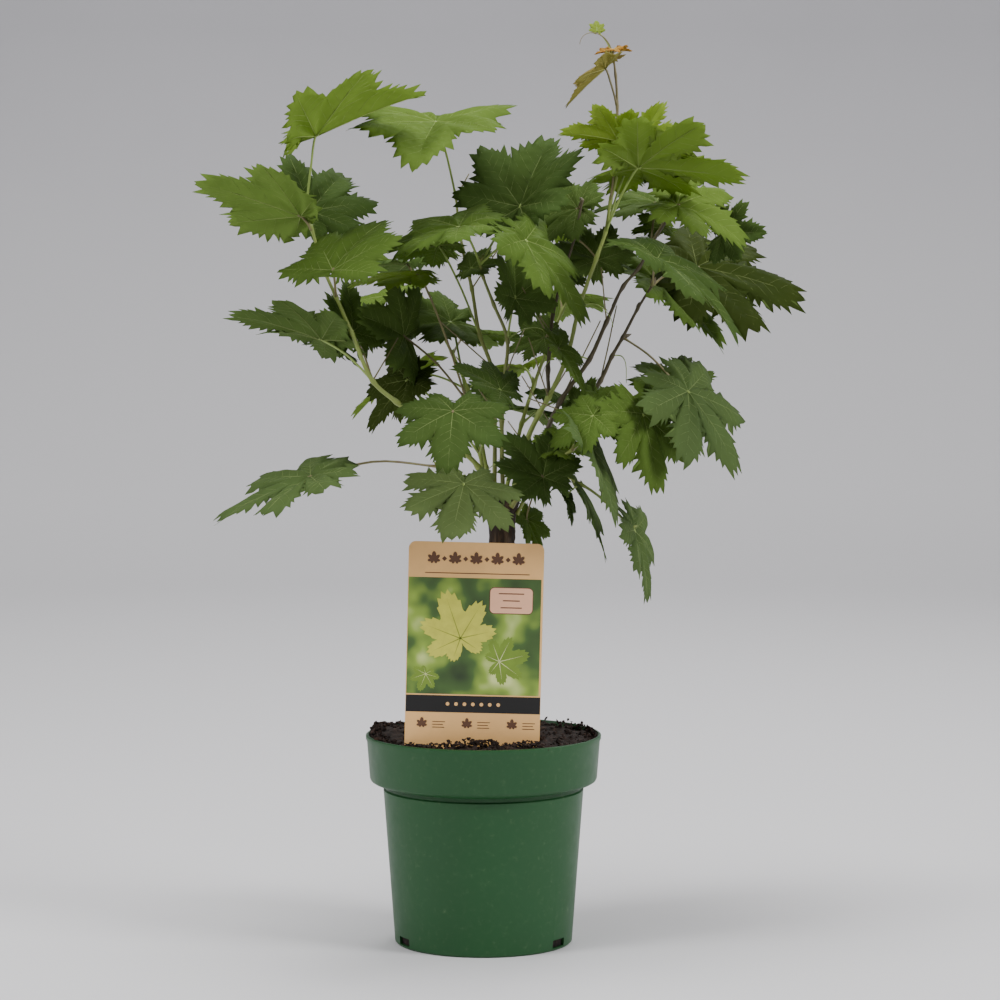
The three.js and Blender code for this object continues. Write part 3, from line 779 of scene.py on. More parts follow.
class Outline:
    """The edge of one blade: lobes between cuts, read by the angle in degrees from the tip."""

    def __init__(self, cut, luck, hind=1.0, side=1.0):
        own = [luck.uniform(0.95, 1.03) if at else 1 for at, far in LOBES]
        lobe_shares = (1, 1, side, hind)
        dip_shares = (1, 1, 0.5 + 0.5 * hind, hind)
        self.lobes = [(at, far * by_luck * share)
                      for (at, far), by_luck, share in zip(LOBES, own, lobe_shares)]
        self.dips = [(at, low * (1 - cut * deep) * share)
                     for (at, low), deep, share in zip(DIPS, CUT_SHARES, dip_shares)]
        self.power = LOBE_POWER + CUT_POWER * cut
        self.marks = sorted([at for at, far in LOBES] + [at for at, low in DIPS]) + [180]

    def reach(self, angle):
        """How far the untoothed edge lies, as a share of the length."""
        angle = np.abs((np.asarray(angle, float) + 180) % 360 - 180)
        out = np.interp(angle, [self.dips[-1][0], 180], [self.dips[-1][1], NOTCH_SHARE])
        for i, (at, far) in enumerate(self.lobes):
            for dip, low in self.dips[max(i - 1, 0):i + 1]:
                inside = (angle >= min(at, dip)) & (angle <= max(at, dip))
                share = np.abs(angle - at) / abs(dip - at)
                out = np.where(inside, low + (far - low) * (1 - share ** self.power), out)
        return out


def spot(angle, reach):
    """A place in the leaf's plane, x to its right and y to its tip."""
    angle = np.radians(angle)
    return np.stack([reach * np.sin(angle), reach * np.cos(angle)], -1)


def mirrored(angle):
    """An angle on both sides of the middle, or the middle alone."""
    return [angle, -angle] if angle else [angle]


# A tooth as (share of its width, height, lean), for an edge that runs from a lobe and one that runs to it

TOOTH = [(0.0, 0.0, 0.0), (0.3, 1.0, -0.4), (0.6, 0.42, -0.1), (0.85, 0.08, 0.0)]
TOOTH_BACK = [(0.0, 0.0, 0.0)] + [(1 - at, out, -lean) for at, out, lean in TOOTH[:0:-1]]


def half_edge(outline, luck):
    """The toothed edge from the tip to the stalk: angles, and how far each point stands out and leans."""
    leaf = settings("leaf")
    lobes = {at for at, far in LOBES}
    angles = []
    outs = []
    for start, end in zip(outline.marks[:-1], outline.marks[1:]):
        fine = np.linspace(start, end, 60)
        length = np.cumsum(np.linalg.norm(np.diff(spot(fine, outline.reach(fine)), axis=0), axis=1))
        length = np.concatenate([[0], length])
        sizes = []
        while sum(sizes) < length[-1] / leaf.tooth_pitch - 0.4:
            large = len(sizes) % 3 == 1
            sizes.append(luck.uniform(1.2, 1.6) if large else luck.uniform(0.6, 1.0))
        sizes = np.array(sizes or [1.0])
        places = np.concatenate([[0], np.cumsum(sizes)]) / sizes.sum() * length[-1]
        for tooth, size in enumerate(sizes):
            cell = places[tooth + 1] - places[tooth]
            tall = min(leaf.tooth_share * size * luck.uniform(0.75, 1.15), cell * 0.95)
            for at, out, lean in TOOTH if start in lobes else TOOTH_BACK:
                angles.append(np.interp(places[tooth] + at * cell, length, fine))
                outs.append((out * tall, lean * tall))
    return np.array(angles), np.array(outs)


def toothed_edge(outline, luck):
    """The edge from the tip right round: angles of the plain edge, and the toothed points."""
    angles, outs = half_edge(outline, luck)
    other, other_outs = half_edge(outline, luck)
    angles = np.concatenate([angles, [180.0], -other[:0:-1]])
    outs = np.concatenate([outs, [[0.0, 0.0]], other_outs[:0:-1] * (1, -1)])
    line = spot(angles, outline.reach(angles))
    along = np.roll(line, -1, axis=0) - np.roll(line, 1, axis=0)
    along /= np.linalg.norm(along, axis=1)[:, None] + 1e-9
    away = np.stack([-along[:, 1], along[:, 0]], -1)
    line = line + away * outs[:, :1] + along * outs[:, 1:]
    for at, far in outline.lobes[:3]:
        for way in mirrored(at):
            nearest = int(np.argmin(np.abs(angles - way)))
            line[nearest] = spot(np.array(float(way)), np.array(far * 1.04))
    return angles, line


# Veins, in shares of the leaf's length: how far out on a main vein the side veins start, and the steps that
# one takes

FORKS = (0.2, 0.34, 0.47, 0.6, 0.72, 0.84)
FORK_ROOM = 0.12
FORK_STEP = 0.02
FORK_STEPS = 60
HALF_GAP = 24.5
VEIN_POINTS = 5
VEIN_HEIGHTS = ((1, 0.18), (-1, 0.55))


def side_vein(outline, way, start, turn):
    """A side vein that bends outward and ends before the edge, or half way to the next main vein."""
    headings = way + turn * (52.0 - 0.9 * np.arange(FORK_STEPS))
    points = start + np.cumsum(spot(headings, np.full(FORK_STEPS, FORK_STEP)), axis=0)
    place = np.degrees(np.arctan2(points[:, 0], points[:, 1]))
    apart = np.abs((place - way + 180) % 360 - 180)
    over = (np.hypot(points[:, 0], points[:, 1]) > 0.94 * outline.reach(place)) | (apart > HALF_GAP)
    count = int(np.argmax(over)) if over.any() else FORK_STEPS
    if count < VEIN_POINTS:
        return None
    points = np.vstack([start, points[:count]])
    pick = np.linspace(0, count, VEIN_POINTS)
    return np.stack([np.interp(pick, np.arange(count + 1), points[:, c]) for c in (0, 1)], -1)


def vein_lines(outline):
    """The veins of a blade as (points, width at the foot, width at the end) in shares of its length."""
    veins = []
    for at, far in outline.lobes:
        for way in mirrored(at):
            main = spot(np.full(VEIN_POINTS, float(way)), np.linspace(0, 0.95 * far, VEIN_POINTS))
            veins.append((main, 1.0, 0.3))
            for share in FORKS:
                if far * (1 - share) < FORK_ROOM:
                    continue
                for turn in (1, -1):
                    start = spot(np.array(float(way)), np.array(far * (share + 0.03 * turn)))
                    line = side_vein(outline, way, start, turn)
                    if line is not None:
                        veins.append((line, 0.42 * (1.1 - share), 0.14))
    return veins


# A blade's rings of points as shares of the way to its edge, and its relief in shares of its length

RINGS = np.array([0.07, 0.2, 0.35, 0.5, 0.65, 0.79, 0.91])
MAIN_GAP = 47
PUFF = 0.028
RIM_WAVE = 0.022
RIM_RIPPLE = 0.012
QUILT = 0.008
RIM_DROOP = 0.03
EDGE_THINNESS = 0.35


class Blade:
    """One leaf blade: its frame, its relief, and the way from the leaf's plane into the scene."""

    def __init__(self, junction, length, heading, dip, bank, fold, curl, cut, luck, small=()):
        self.outline = Outline(cut, luck, *small)
        self.junction = junction
        self.length = length
        self.u = aim(heading, -dip)
        level = np.array([math.sin(math.radians(heading)), -math.cos(math.radians(heading)), 0])
        over = np.cross(level, self.u)
        b = math.radians(bank)
        self.v = level * math.cos(b) + over * math.sin(b)
        self.n = np.cross(self.v, self.u)
        self.fold = math.radians(fold)
        self.curl = curl
        self.phases = [luck.uniform(0, 2 * math.pi) for unused in range(3)]
        self.wave = luck.uniform(0.6, 1.3)

    def lift(self, flat):
        """How high the relief stands at places in the leaf's plane."""
        x, y = flat[..., 0], flat[..., 1]
        r = np.hypot(x, y)
        angle = np.arctan2(x, y)
        rim = np.clip(r / np.maximum(self.outline.reach(np.degrees(angle)), 0.2), 0, 1.2)
        z = (np.sqrt(x * x + 0.0004) - 0.02) * math.sin(self.fold) - self.curl * r * r
        gap = np.degrees(np.abs(angle)) % MAIN_GAP / MAIN_GAP
        z = z + PUFF * np.sin(math.pi * gap) ** 2 * np.sin(math.pi * np.clip(rim, 0, 1)) * (r > 0.02)
        z = z + RIM_WAVE * self.wave * rim ** 3 * np.sin(5 * angle + self.phases[0])
        z = z + RIM_RIPPLE * self.wave * rim ** 4 * np.sin(13 * angle + self.phases[1])
        z = z + QUILT * np.sin(16 * x + self.phases[1]) * np.sin(16 * y + self.phases[2]) * rim
        return z - RIM_DROOP * rim ** 4

    def put(self, flat):
        """Places in the leaf's plane, put on the blade in millimetres."""
        z = self.lift(flat)
        return (self.junction + self.length * (flat[..., :1] * math.cos(self.fold) * self.v
                                               + flat[..., 1:] * self.u + z[..., None] * self.n))


def add_blade(heap, blade, tone, luck):
    """A toothed blade with an upper and an under face, and raised veins on both."""
    angles, edge = toothed_edge(blade.outline, luck)
    plain = spot(angles, blade.outline.reach(angles))
    grid = blade.put(np.concatenate([plain[None] * RINGS[:, None, None], edge[None]]))
    middle = blade.put(np.zeros((1, 2)))[0]
    rows, count = grid.shape[:2]
    thick = settings("leaf").thickness / MM / 2
    fade = np.ones(rows)
    fade[-1] = EDGE_THINNESS
    shift = blade.n * thick * fade[:, None, None]
    top = np.vstack([(grid + shift).reshape(-1, 3), middle + blade.n * thick])
    under = np.vstack([(grid - shift).reshape(-1, 3), middle - blade.n * thick])
    below = len(top)
    here = np.arange(count)
    beside = (here + 1) % count
    outer = (rows - 1) * count
    quads = walls_between(rows, count)
    fan = np.stack([np.full(count, rows * count), beside, here], -1)
    rim = np.stack([outer + here, outer + beside, below + outer + beside, below + outer + here], -1)
    heap.add(np.vstack([top, under]),
             (leaf_finish(tone, "top"), [quads, fan]),
             (leaf_finish(tone, "under"), [quads[:, ::-1] + below, fan[:, ::-1] + below, rim]))
    add_veins(heap, blade, tone)


def add_veins(heap, blade, tone):
    """Ridges along the veins, low on the upper face and high on the under face."""
    leaf = settings("leaf")
    veins = vein_lines(blade.outline)
    centre = blade.put(np.array([line for line, foot, end in veins]))
    widths = np.array([np.linspace(foot, end, VEIN_POINTS) for line, foot, end in veins])[..., None]
    along = np.gradient(centre, axis=1)
    along /= np.linalg.norm(along, axis=2)[..., None]
    across = np.cross(blade.n, along)
    across /= np.linalg.norm(across, axis=2)[..., None]
    scale = min(1.0, 0.35 + blade.length / 90)
    width = widths * leaf.vein_width / MM * scale
    thick = leaf.thickness / MM / 2
    first = np.arange(len(centre)) * VEIN_POINTS * 3
    last = first + (VEIN_POINTS - 1) * 3
    walls = (first[:, None, None] + walls_between(VEIN_POINTS, 3)).reshape(-1, 4)
    caps = np.vstack([np.stack([first, first + 2, first + 1], -1), np.stack([last, last + 1, last + 2], -1)])
    for side, height in VEIN_HEIGHTS:
        base = centre + blade.n * side * (thick - 0.1)
        crest = centre + blade.n * side * (thick + 0.04) + blade.n * side * height * widths
        ring = np.stack([base + across * width / 2, crest, base - across * width / 2], axis=2)
        outward = slice(None, None, -side)
        heap.add(ring.reshape(-1, 3), (leaf_finish(tone, "vein"), [walls[:, outward], caps[:, outward]]))


# Shoots


# How thin the drawn canes are beside the solid ones, how they swell at a joint and over what length, and a
# bud as rows of [share of its length, share of its thickness]

SLIMNESS = 0.78
SWELL = 0.36
SWELL_LENGTH = 2.6
BUD = np.array([[0, 0.55], [0.2, 0.95], [0.45, 1.0], [0.7, 0.7], [0.9, 0.35], [1.0, 0.12]])


def joints_of(shoot):
    """The joints of a shoot, from its foot on."""
    points = [np.array(shoot["foot"], float)]
    for length, heading, rise in shoot["joints"]:
        points.append(points[-1] + length * aim(heading, rise))
    return points


def leaves_of(shoot):
    """A shoot's own leaves, or those of the seeded rule that the solids follow."""
    if "leaves" in shoot:
        return shoot["leaves"]
    state = float(shoot["seed"])
    rows = []

    def pick(low, high):
        nonlocal state
        state = math.fmod(state * 1103515245.0 + 12345.0, 2147483648.0)
        return low + (high - low) * state / 2147483648.0

    for joint in range(2, len(shoot["joints"]) + 1):
        side = 1 if joint % 2 else -1
        way = shoot["joints"][joint - 1][1] + side * pick(35, 70)
        reach, rise, length = pick(34, 48), pick(10, 30), pick(46, 60)
        pose = [pick(6, 30), pick(-14, 14), pick(8, 18)]
        if joint not in shoot.get("fallen", []):
            tone = RULE_TONES[joint % len(RULE_TONES)]
            rows.append([joint, reach, way, rise, length, way, *pose, 0.1, tone, 0.2])
    return rows


def girth(shoot, count):
    """The radius of a shoot at a count of joints, a little swollen at each joint."""
    share = count / len(shoot["joints"])
    radius = shoot["radii"][0] + (shoot["radii"][1] - shoot["radii"][0]) * share
    off = min(count % 1, 1 - count % 1) * shoot["joints"][min(int(count), len(shoot["joints"]) - 1)][0]
    return radius * SLIMNESS * (0.92 + SWELL * math.exp(-((off / SWELL_LENGTH) ** 2)))


def add_bud(heap, at, way, size, material):
    """A small pointed bud."""
    line = at + BUD[:, :1] * way * size
    tube(heap, line, BUD[:, 1] * size * 0.22, 7, material)


def add_tendril(heap, start, length, heading, rise, coils, material, luck):
    """A thin twining thread that arches over, or a straight twig where it has no coils."""
    steps = 26 if coils else 5
    points = [start]
    for step in range(steps):
        share = step / steps
        bend = coils * 360 * share ** 1.6
        way = aim(heading + 0.35 * bend + luck.uniform(-3, 3), rise - bend)
        points.append(points[-1] + way * length / steps)
    radii = np.linspace(0.6, 0.2 if coils else 0.45, len(points))
    tube(heap, np.array(points), radii, 6, material)


def cane_kind(name):
    """Which skin a shoot's cane has."""
    if name in DARK_SHOOTS:
        return "cane_dark"
    return "cane_brown" if name in BROWN_SHOOTS else "cane_green"


def add_stem(stalks, shoot, start, rings, stouter, material):
    """The leafy part of a shoot's stem, from a count of joints to its end."""
    counts = np.linspace(start, len(shoot["joints"]), rings)
    radii = [girth(shoot, count) + stouter for count in counts]
    tube(stalks, Path(joints_of(shoot)).run(counts), radii, 10, material)


def add_leaf(blades, stalks, name, start, row, luck):
    """A leaf's stalk, with the bud at its foot, and its blade."""
    reach, way, rise, length, heading, dip, bank, fold, curl, tone, cut, *small = row
    junction = start + reach * aim(way, rise)
    middle = (start + junction) / 2 + np.array([0, 0, 0.07 * reach])
    end = junction + 2.2 * aim(heading, -dip)
    line = Path([start, middle, junction, end]).run(np.linspace(0, 2.75, 14))
    share = np.linspace(0, 1, len(line))
    size = settings("leaf").stalk_radius / MM * min(1.0, 0.45 + length / 80)
    radii = size * (1 + 0.7 * np.exp(-((share * reach / 2.5) ** 2)) + 0.25 * share ** 8)
    red = luck.random() < 0.4 or name in DARK_SHOOTS or reach > 90
    tube(stalks, line, radii, 8, stem_finish("stalk_red" if red else "stalk_green"))
    toward = aim(way, rise) + np.array([0, 0, 0.9])
    bud_size = luck.uniform(4, 8) * min(1, length / 45)
    add_bud(stalks, start, toward / np.linalg.norm(toward), bud_size, stem_finish(cane_kind(name)))
    blade = Blade(junction, length, heading, dip, bank, fold, curl, cut, luck, small)
    add_blade(blades, blade, tone, luck)


def build_foliage(name):
    """The blades, and the stem, stalks and buds, of one mass of leaves."""
    shoot = SHOOTS[name]
    luck = random.Random(name)
    points = joints_of(shoot)
    blades = Heap()
    stalks = Heap()
    rings = 16 * (len(shoot["joints"]) + 1 - int(shoot["bare"]))
    add_stem(stalks, shoot, shoot["bare"] - 0.02, rings, 0, stem_finish(cane_kind(name)))
    if "ruddy" in shoot:
        add_stem(stalks, shoot, shoot["ruddy"], 60, 0.12, stem_finish("stalk_red"))
    for joint, *row in leaves_of(shoot):
        add_leaf(blades, stalks, name, points[joint], row, luck)
    for owner, joint, length, heading, rise, coils in TENDRILS:
        if owner == name:
            thread = stem_finish("stalk_red" if joint > 10 or not coils else "stalk_green")
            add_tendril(stalks, points[joint], length, heading, rise, coils, thread, luck)
    dress(blades.piece(name + "_blades"), "foliage", "leaves_" + name)
    dress(stalks.piece(name + "_stalks"), "cane", "leaves_" + name)


def sweep_bmesh(line, radii, sides):
    """A limb swept along a line with bmesh: a circle, extruded ring by ring."""
    bm = bmesh.new()
    side, over = frames(line)
    ring = bmesh.ops.create_circle(bm, segments=sides, radius=1, cap_ends=True)["verts"]
    turn = [math.atan2(v.co.y, v.co.x) for v in ring]
    edges = list({edge for v in ring for edge in v.link_edges})
    for i, (at, radius) in enumerate(zip(line, radii)):
        if i:
            made = bmesh.ops.extrude_edge_only(bm, edges=edges)["geom"]
            fresh = [g for g in made if isinstance(g, bmesh.types.BMVert)]
            edges = [g for g in made if isinstance(g, bmesh.types.BMEdge)]
            edges = [edge for edge in edges if edge.verts[0] in fresh and edge.verts[1] in fresh]
            partners = {tuple(v.co): v for v in fresh}
            ring = [partners[tuple(v.co)] for v in ring]
        for v, angle in zip(ring, turn):
            v.co = Vector((at + (side[i] * math.cos(angle) + over[i] * math.sin(angle)) * radius) * MM)
    bmesh.ops.contextual_create(bm, geom=edges)
    bmesh.ops.recalc_face_normals(bm, faces=bm.faces)
    return bm


def lumps(at, octaves):
    """Noise of several grains laid over each other, from rows of (height, grain)."""
    return sum(height * noise.noise(at * grain) for height, grain in octaves)


BARK_OCTAVES = ((1, 1), (0.5, 2.7), (0.3, 6.1))


def roughen(bm, depth, grain, stretch):
    """Bark relief: lengthwise strands and lumps, pushed along the normals."""
    bm.normal_update()
    moves = []
    for v in bm.verts:
        at = Vector((v.co.x * grain, v.co.y * grain, v.co.z * grain * stretch))
        moves.append(v.normal * lumps(at, BARK_OCTAVES) * depth)
    for v, move in zip(bm.verts, moves):
        v.co += move


def build_cane(name):
    """The bare lower part of a shoot."""
    shoot = SHOOTS[name]
    counts = np.linspace(0, shoot["bare"] + 0.01, int(14 * shoot["bare"]) + 8)
    radii = [girth(shoot, count) * 0.97 for count in counts]
    bm = sweep_bmesh(Path(joints_of(shoot)).run(counts), radii, 14)
    roughen(bm, 0.00022, 420, 0.18)
    finish = stem_finish(cane_kind(name))
    dress(from_bmesh("cane_" + name + "_bark", bm, [finish]), "cane", "cane_" + name)


# The trunk's line in millimetres, and its radius as [share of the line, millimetres]

TRUNK_PATH = [[9, 0, 140], [9, 0, 165], [11, 1, 220], [12, 0, 275], [14, 0, 310], [14, 0, 330]]
TRUNK_GIRTH = [[0, 17], [0.06, 15], [0.14, 11.5], [0.45, 9.5], [0.8, 10], [0.9, 13], [0.96, 12], [1, 4]]
BARK_ROOM = 0.6


def build_trunk():
    """The trunk, with bark relief, cut off level just under the top of the soil."""
    shares = np.linspace(0.045, 1, 70)
    shares[0] = 0.03
    line = Path(TRUNK_PATH).run(shares * (len(TRUNK_PATH) - 1))
    radii = np.interp(shares, [row[0] for row in TRUNK_GIRTH], [row[1] for row in TRUNK_GIRTH])
    bm = sweep_bmesh(line, radii - BARK_ROOM, 40)
    roughen(bm, 0.0014, 170, 0.14)
    roughen(bm, 0.0007, 420, 0.3)
    cut = settings("pot").soil_top - 0.002
    bmesh.ops.bisect_plane(bm, geom=bm.verts[:] + bm.edges[:] + bm.faces[:], plane_co=(0, 0, cut),
                           plane_no=(0, 0, 1), clear_inner=True)
    rim = [edge for edge in bm.edges if edge.is_boundary]
    bmesh.ops.contextual_create(bm, geom=rim)
    bmesh.ops.recalc_face_normals(bm, faces=bm.faces)
    dress(from_bmesh("trunk_bark", bm, [bark_finish()]), "bark", "trunk")


# Pot, soil and tag


def spun(profile, steps):
    """A closed shell spun round the upright axis from rows of [radius, height] in metres."""
    bm = bmesh.new()
    verts = [bm.verts.new((r, 0, z)) for r, z in profile]
    edges = [bm.edges.new(pair) for pair in zip(verts[:-1], verts[1:])]
    bmesh.ops.spin(bm, geom=verts + edges, cent=(0, 0, 0), axis=(0, 0, 1), angle=2 * math.pi, steps=steps,
                   use_merge=True)
    bmesh.ops.remove_doubles(bm, verts=bm.verts, dist=1e-6)
    bmesh.ops.recalc_face_normals(bm, faces=bm.faces)
    return bm


# The drain notches, in degrees and metres

NOTCH_HEADINGS = (327, 208, 90)
NOTCH_HEIGHT = 0.006
NOTCH_MIDDLE = 0.005


def pot_profile():
    """The pot's section as (radius, height): the outside up from the floor's middle, then the inside down."""
    pot = settings("pot")
    wall = pot.wall
    base, neck, foot, rim = pot.base_radius, pot.neck_radius, pot.band_foot_radius, pot.rim_radius
    step = pot.neck_height
    band = pot.height - pot.band_height
    top = pot.height
    underside = [(0, 0.0006), (base - 0.009, 0.0006), (base - 0.008, 0), (base - 0.0012, 0), (base, 0.0012)]
    groove = [(neck - 0.0003, step - 0.0022), (neck - 0.0016, step - 0.0012), (neck - 0.0016, step + 0.0012),
              (neck + 0.0018, step + 0.0019)]
    outer_band = [(foot - 0.0026, step + 0.0036), (foot - 0.0007, band - 0.0012), (foot, band + 0.0004)]
    lip = [(rim - 0.0004, top - 0.0045), (rim + 0.0004, top - 0.0030), (rim + 0.0004, top - 0.0006),
           (rim - 0.0004, top), (rim - wall + 0.0003, top), (rim - wall, top - 0.0008)]
    inside = [(foot - wall, band + 0.0008), (foot - wall - 0.002, band - 0.0014),
              (neck - wall - 0.0012, step + 0.002), (base - wall, 0.002), (0, 0.002)]
    return underside + groove + outer_band + lip + inside


def cut_notch(piece, heading):
    """Cuts one drain notch, at a heading, through the wall at the pot's foot."""
    pot = settings("pot")
    bm = bmesh.new()
    bmesh.ops.create_cube(bm, size=1)
    size = Matrix.Diagonal((2 * pot.wall + 0.003, pot.notch_width, NOTCH_HEIGHT, 1))
    turn = Matrix.Rotation(math.radians(heading), 4, "Z")
    place = turn @ Matrix.Translation((pot.base_radius - 0.001, 0, NOTCH_MIDDLE)) @ size
    bmesh.ops.transform(bm, matrix=place, verts=bm.verts)
    bmesh.ops.bevel(bm, geom=bm.edges[:], offset=0.0008, segments=2, profile=0.5, affect="EDGES", material=-1)
    cutter = from_bmesh("cutter", bm, [])
    tool = piece.modifiers.new("notch", "BOOLEAN")
    tool.object = cutter
    tool.operation = "DIFFERENCE"
    tool.solver = "EXACT"
    bpy.context.view_layer.update()
    cut = bpy.data.meshes.new_from_object(piece.evaluated_get(bpy.context.evaluated_depsgraph_get()))
    piece.modifiers.clear()
    piece.data = cut
    bpy.data.objects.remove(cutter)


def build_pot():
    """The pot's shell, with its notches."""
    piece = from_bmesh("pot_shell", spun(pot_profile(), 128), [plastic_finish()])
    for heading in NOTCH_HEADINGS:
        cut_notch(piece, heading)
    piece.data.set_sharp_from_angle(angle=math.radians(35))
    dress(piece, "pot", "pot")


# The soil's lumps as (height in metres, grain)

SOIL_OCTAVES = ((0.0030, 55), (0.0022, 130), (0.0014, 300))


def soil_height(x, y):
    """Height of the lumpy soil, in metres, heaped at the rim's left and before the tag."""
    pot = settings("pot")
    r = math.hypot(x, y)
    edge = pot.rim_radius - 0.003
    low = pot.soil_edge + 0.0025
    top = pot.soil_top
    fall = np.interp(r, [0, 0.030, edge - 0.012, edge], [top, top, top - 0.0006, low])
    left = 0.0052 * math.exp(-((x + 0.070) ** 2 + (y - 0.012) ** 2) / 0.024 ** 2)
    front = 0.0026 * math.exp(-((y + 0.068) / 0.008) ** 2) * (abs(x) < 0.05)
    return float(fall) + 0.0008 + left + front + lumps(Vector((x, y, 0)), SOIL_OCTAVES) * min(1.0, r / 0.02)


def build_soil():
    """The peat that fills the pot, with a lumpy top."""
    pot = settings("pot")
    inset = pot.wall + CLEAR * MM
    band = pot.height - pot.band_height
    foot, neck = pot.band_foot_radius, pot.neck_radius
    edge = foot + (pot.rim_radius - foot) * (pot.soil_edge - band) / pot.band_height - inset - 0.0002
    profile = [(0, 0.0023), (pot.base_radius - inset, 0.0023),
               (neck - inset - 0.0014, pot.neck_height + 0.0023), (foot - inset - 0.0021, band - 0.001),
               (foot - inset - 0.0002, band + 0.0012), (edge, pot.soil_edge)]
    profile += [(edge * share, pot.soil_edge + 0.001) for share in np.linspace(0.992, 0, 46)]
    bm = spun(profile, 150)
    for v in bm.verts:
        if v.co.z > pot.soil_edge - 0.0005 and math.hypot(v.co.x, v.co.y) < edge - 0.0003:
            v.co.z = soil_height(v.co.x, v.co.y)
    bmesh.ops.recalc_face_normals(bm, faces=bm.faces)
    dress(from_bmesh("soil_fill", bm, [peat_finish("peat", 1.0)]), "soil", "soil")


# Heaps of crumbs, in millimetres and degrees: how many lie in each, where round the rim and how widely spread

CRUMB_SIZES = [0.7, 0.9, 1.2, 1.6, 2.3]
LEFT_CRUMBS, LEFT_HEADING, LEFT_SPREAD, LEFT_DEPTH, LEFT_HEIGHT = 330, 185, 30, 7, 8.5
RIGHT_CRUMBS, RIGHT_HEADING, RIGHT_SPREAD, RIGHT_HEIGHT = 150, 10, 26, 5
FRONT_CRUMBS = 420

# The radius round the trunk that stays free of crumbs, the tag's place, and its lean, in millimetres and degrees

TRUNK_ROOM = 17
TAG_X, TAG_Y, TAG_LEAN = -8, -54, 1.4


def crumb_places(luck):
    """Where crumbs lie, in millimetres: all over the soil, heaped at the rim and before the tag."""
    pot = settings("pot")
    wall = pot.rim_radius / MM - 3.4
    for crumb in range(pot.crumbs):
        way = luck.uniform(0, 2 * math.pi)
        far = wall * math.sqrt(luck.random()) if crumb % 3 else wall - luck.uniform(0, 5)
        yield far * math.cos(way), far * math.sin(way), 0.0, luck.choice(CRUMB_SIZES)
    for crumb in range(LEFT_CRUMBS):
        way = math.radians(luck.gauss(LEFT_HEADING, LEFT_SPREAD))
        share = luck.random()
        far = wall - LEFT_DEPTH * share
        fall = math.exp(-abs(math.degrees(way) - LEFT_HEADING) / LEFT_SPREAD)
        lift = LEFT_HEIGHT * luck.random() * fall * (1 - share * 0.5)
        yield far * math.cos(way), far * math.sin(way), lift, luck.uniform(0.7, 2.0)
    for crumb in range(RIGHT_CRUMBS):
        way = math.radians(luck.gauss(RIGHT_HEADING, RIGHT_SPREAD))
        lift = luck.uniform(0, RIGHT_HEIGHT)
        yield wall * math.cos(way), wall * math.sin(way), lift, luck.uniform(0.6, 1.5)
    for crumb in range(FRONT_CRUMBS):
        x = luck.uniform(-56, 42)
        heap = 3.4 + 3.2 * math.exp(-((x + 8) / 14) ** 2) + 1.6 * math.sin(x * 0.33) * math.sin(x * 0.11 + 1)
        y = luck.uniform(-71, -56.5)
        yield x, y, heap * luck.random() ** 1.4, luck.uniform(0.6, 1.7)


def build_crumbs():
    """Loose crumbs and shreds of peat on the soil."""
    luck = random.Random(41)
    seedling = bmesh.new()
    bmesh.ops.create_icosphere(seedling, subdivisions=1, radius=1)
    ball = np.array([v.co[:] for v in seedling.verts])
    faces = np.array([[v.index for v in f.verts] for f in seedling.faces])
    seedling.free()
    heap = Heap()
    wall = settings("pot").rim_radius / MM - 3.0
    for x, y, lift, size in crumb_places(luck):
        in_trunk = math.hypot(x - TRUNK_PATH[0][0], y) < TRUNK_ROOM
        in_tag = abs(y - TAG_Y) < 2.4 and abs(x - TAG_X) < 50
        if in_trunk or in_tag or math.hypot(x, y) > wall:
            continue
        shape = np.array([[luck.uniform(0.45, 1.35) for unused in range(3)] for point in ball]) * ball
        long = luck.uniform(1.4, 2.6) if luck.random() < 0.3 else 1.0
        shape *= size * np.array([long, luck.uniform(0.6, 1.1) / long ** 0.5, luck.uniform(0.5, 1.0)])
        spin = Matrix.Rotation(luck.uniform(0, 2 * math.pi), 3, "Z")
        shape = shape @ np.array(spin @ Matrix.Rotation(luck.gauss(0, 0.5), 3, "Y")).T
        centre = np.array([x, y, soil_height(x * MM, y * MM) / MM + 0.3 + lift + size * 0.25])
        material = peat_finish("peat_crumb", 1.5) if luck.random() < 0.3 else peat_finish("peat", 1.0)
        heap.add(shape + centre, (material, [faces]))
    dress(heap.piece("soil_crumbs", smooth=False), "soil")


def tag_place():
    """From the tag's own plane, x to the right and z up from its shoulder, to its place."""
    tag = settings("tag")
    lean = Matrix.Rotation(math.radians(TAG_LEAN), 4, "Y")
    return Matrix.Translation((TAG_X * MM, TAG_Y * MM, tag.shoulder)) @ lean


def thicken(bm, near, far):
    """Flat faces at y = 0 become plates from near to far."""
    bmesh.ops.recalc_face_normals(bm, faces=bm.faces)
    flat = list(bm.faces)
    made = bmesh.ops.extrude_face_region(bm, geom=flat, use_keep_orig=True)["geom"]
    moved = {g for g in made if isinstance(g, bmesh.types.BMVert)}
    for v in bm.verts:
        v.co.y = near if v in moved else far
    bmesh.ops.recalc_face_normals(bm, faces=bm.faces)


def rectangle(bm, left, right, low, high):
    """A flat rectangle in the tag's plane."""
    made = bmesh.ops.create_grid(bm, x_segments=1, y_segments=1, size=0.5)["verts"]
    place = Matrix.Translation(((left + right) / 2, 0, (low + high) / 2))
    size = Matrix.Diagonal((right - left, 1, high - low, 1))
    bmesh.ops.transform(bm, matrix=place @ size @ Matrix.Rotation(math.pi / 2, 4, "X"), verts=made)
    return made


def disc(bm, x, z, radius):
    """A flat disc in the tag's plane."""
    made = bmesh.ops.create_circle(bm, cap_ends=True, segments=20, radius=radius)["verts"]
    place = Matrix.Translation((x, 0, z)) @ Matrix.Rotation(math.pi / 2, 4, "X")
    bmesh.ops.transform(bm, matrix=place, verts=made)


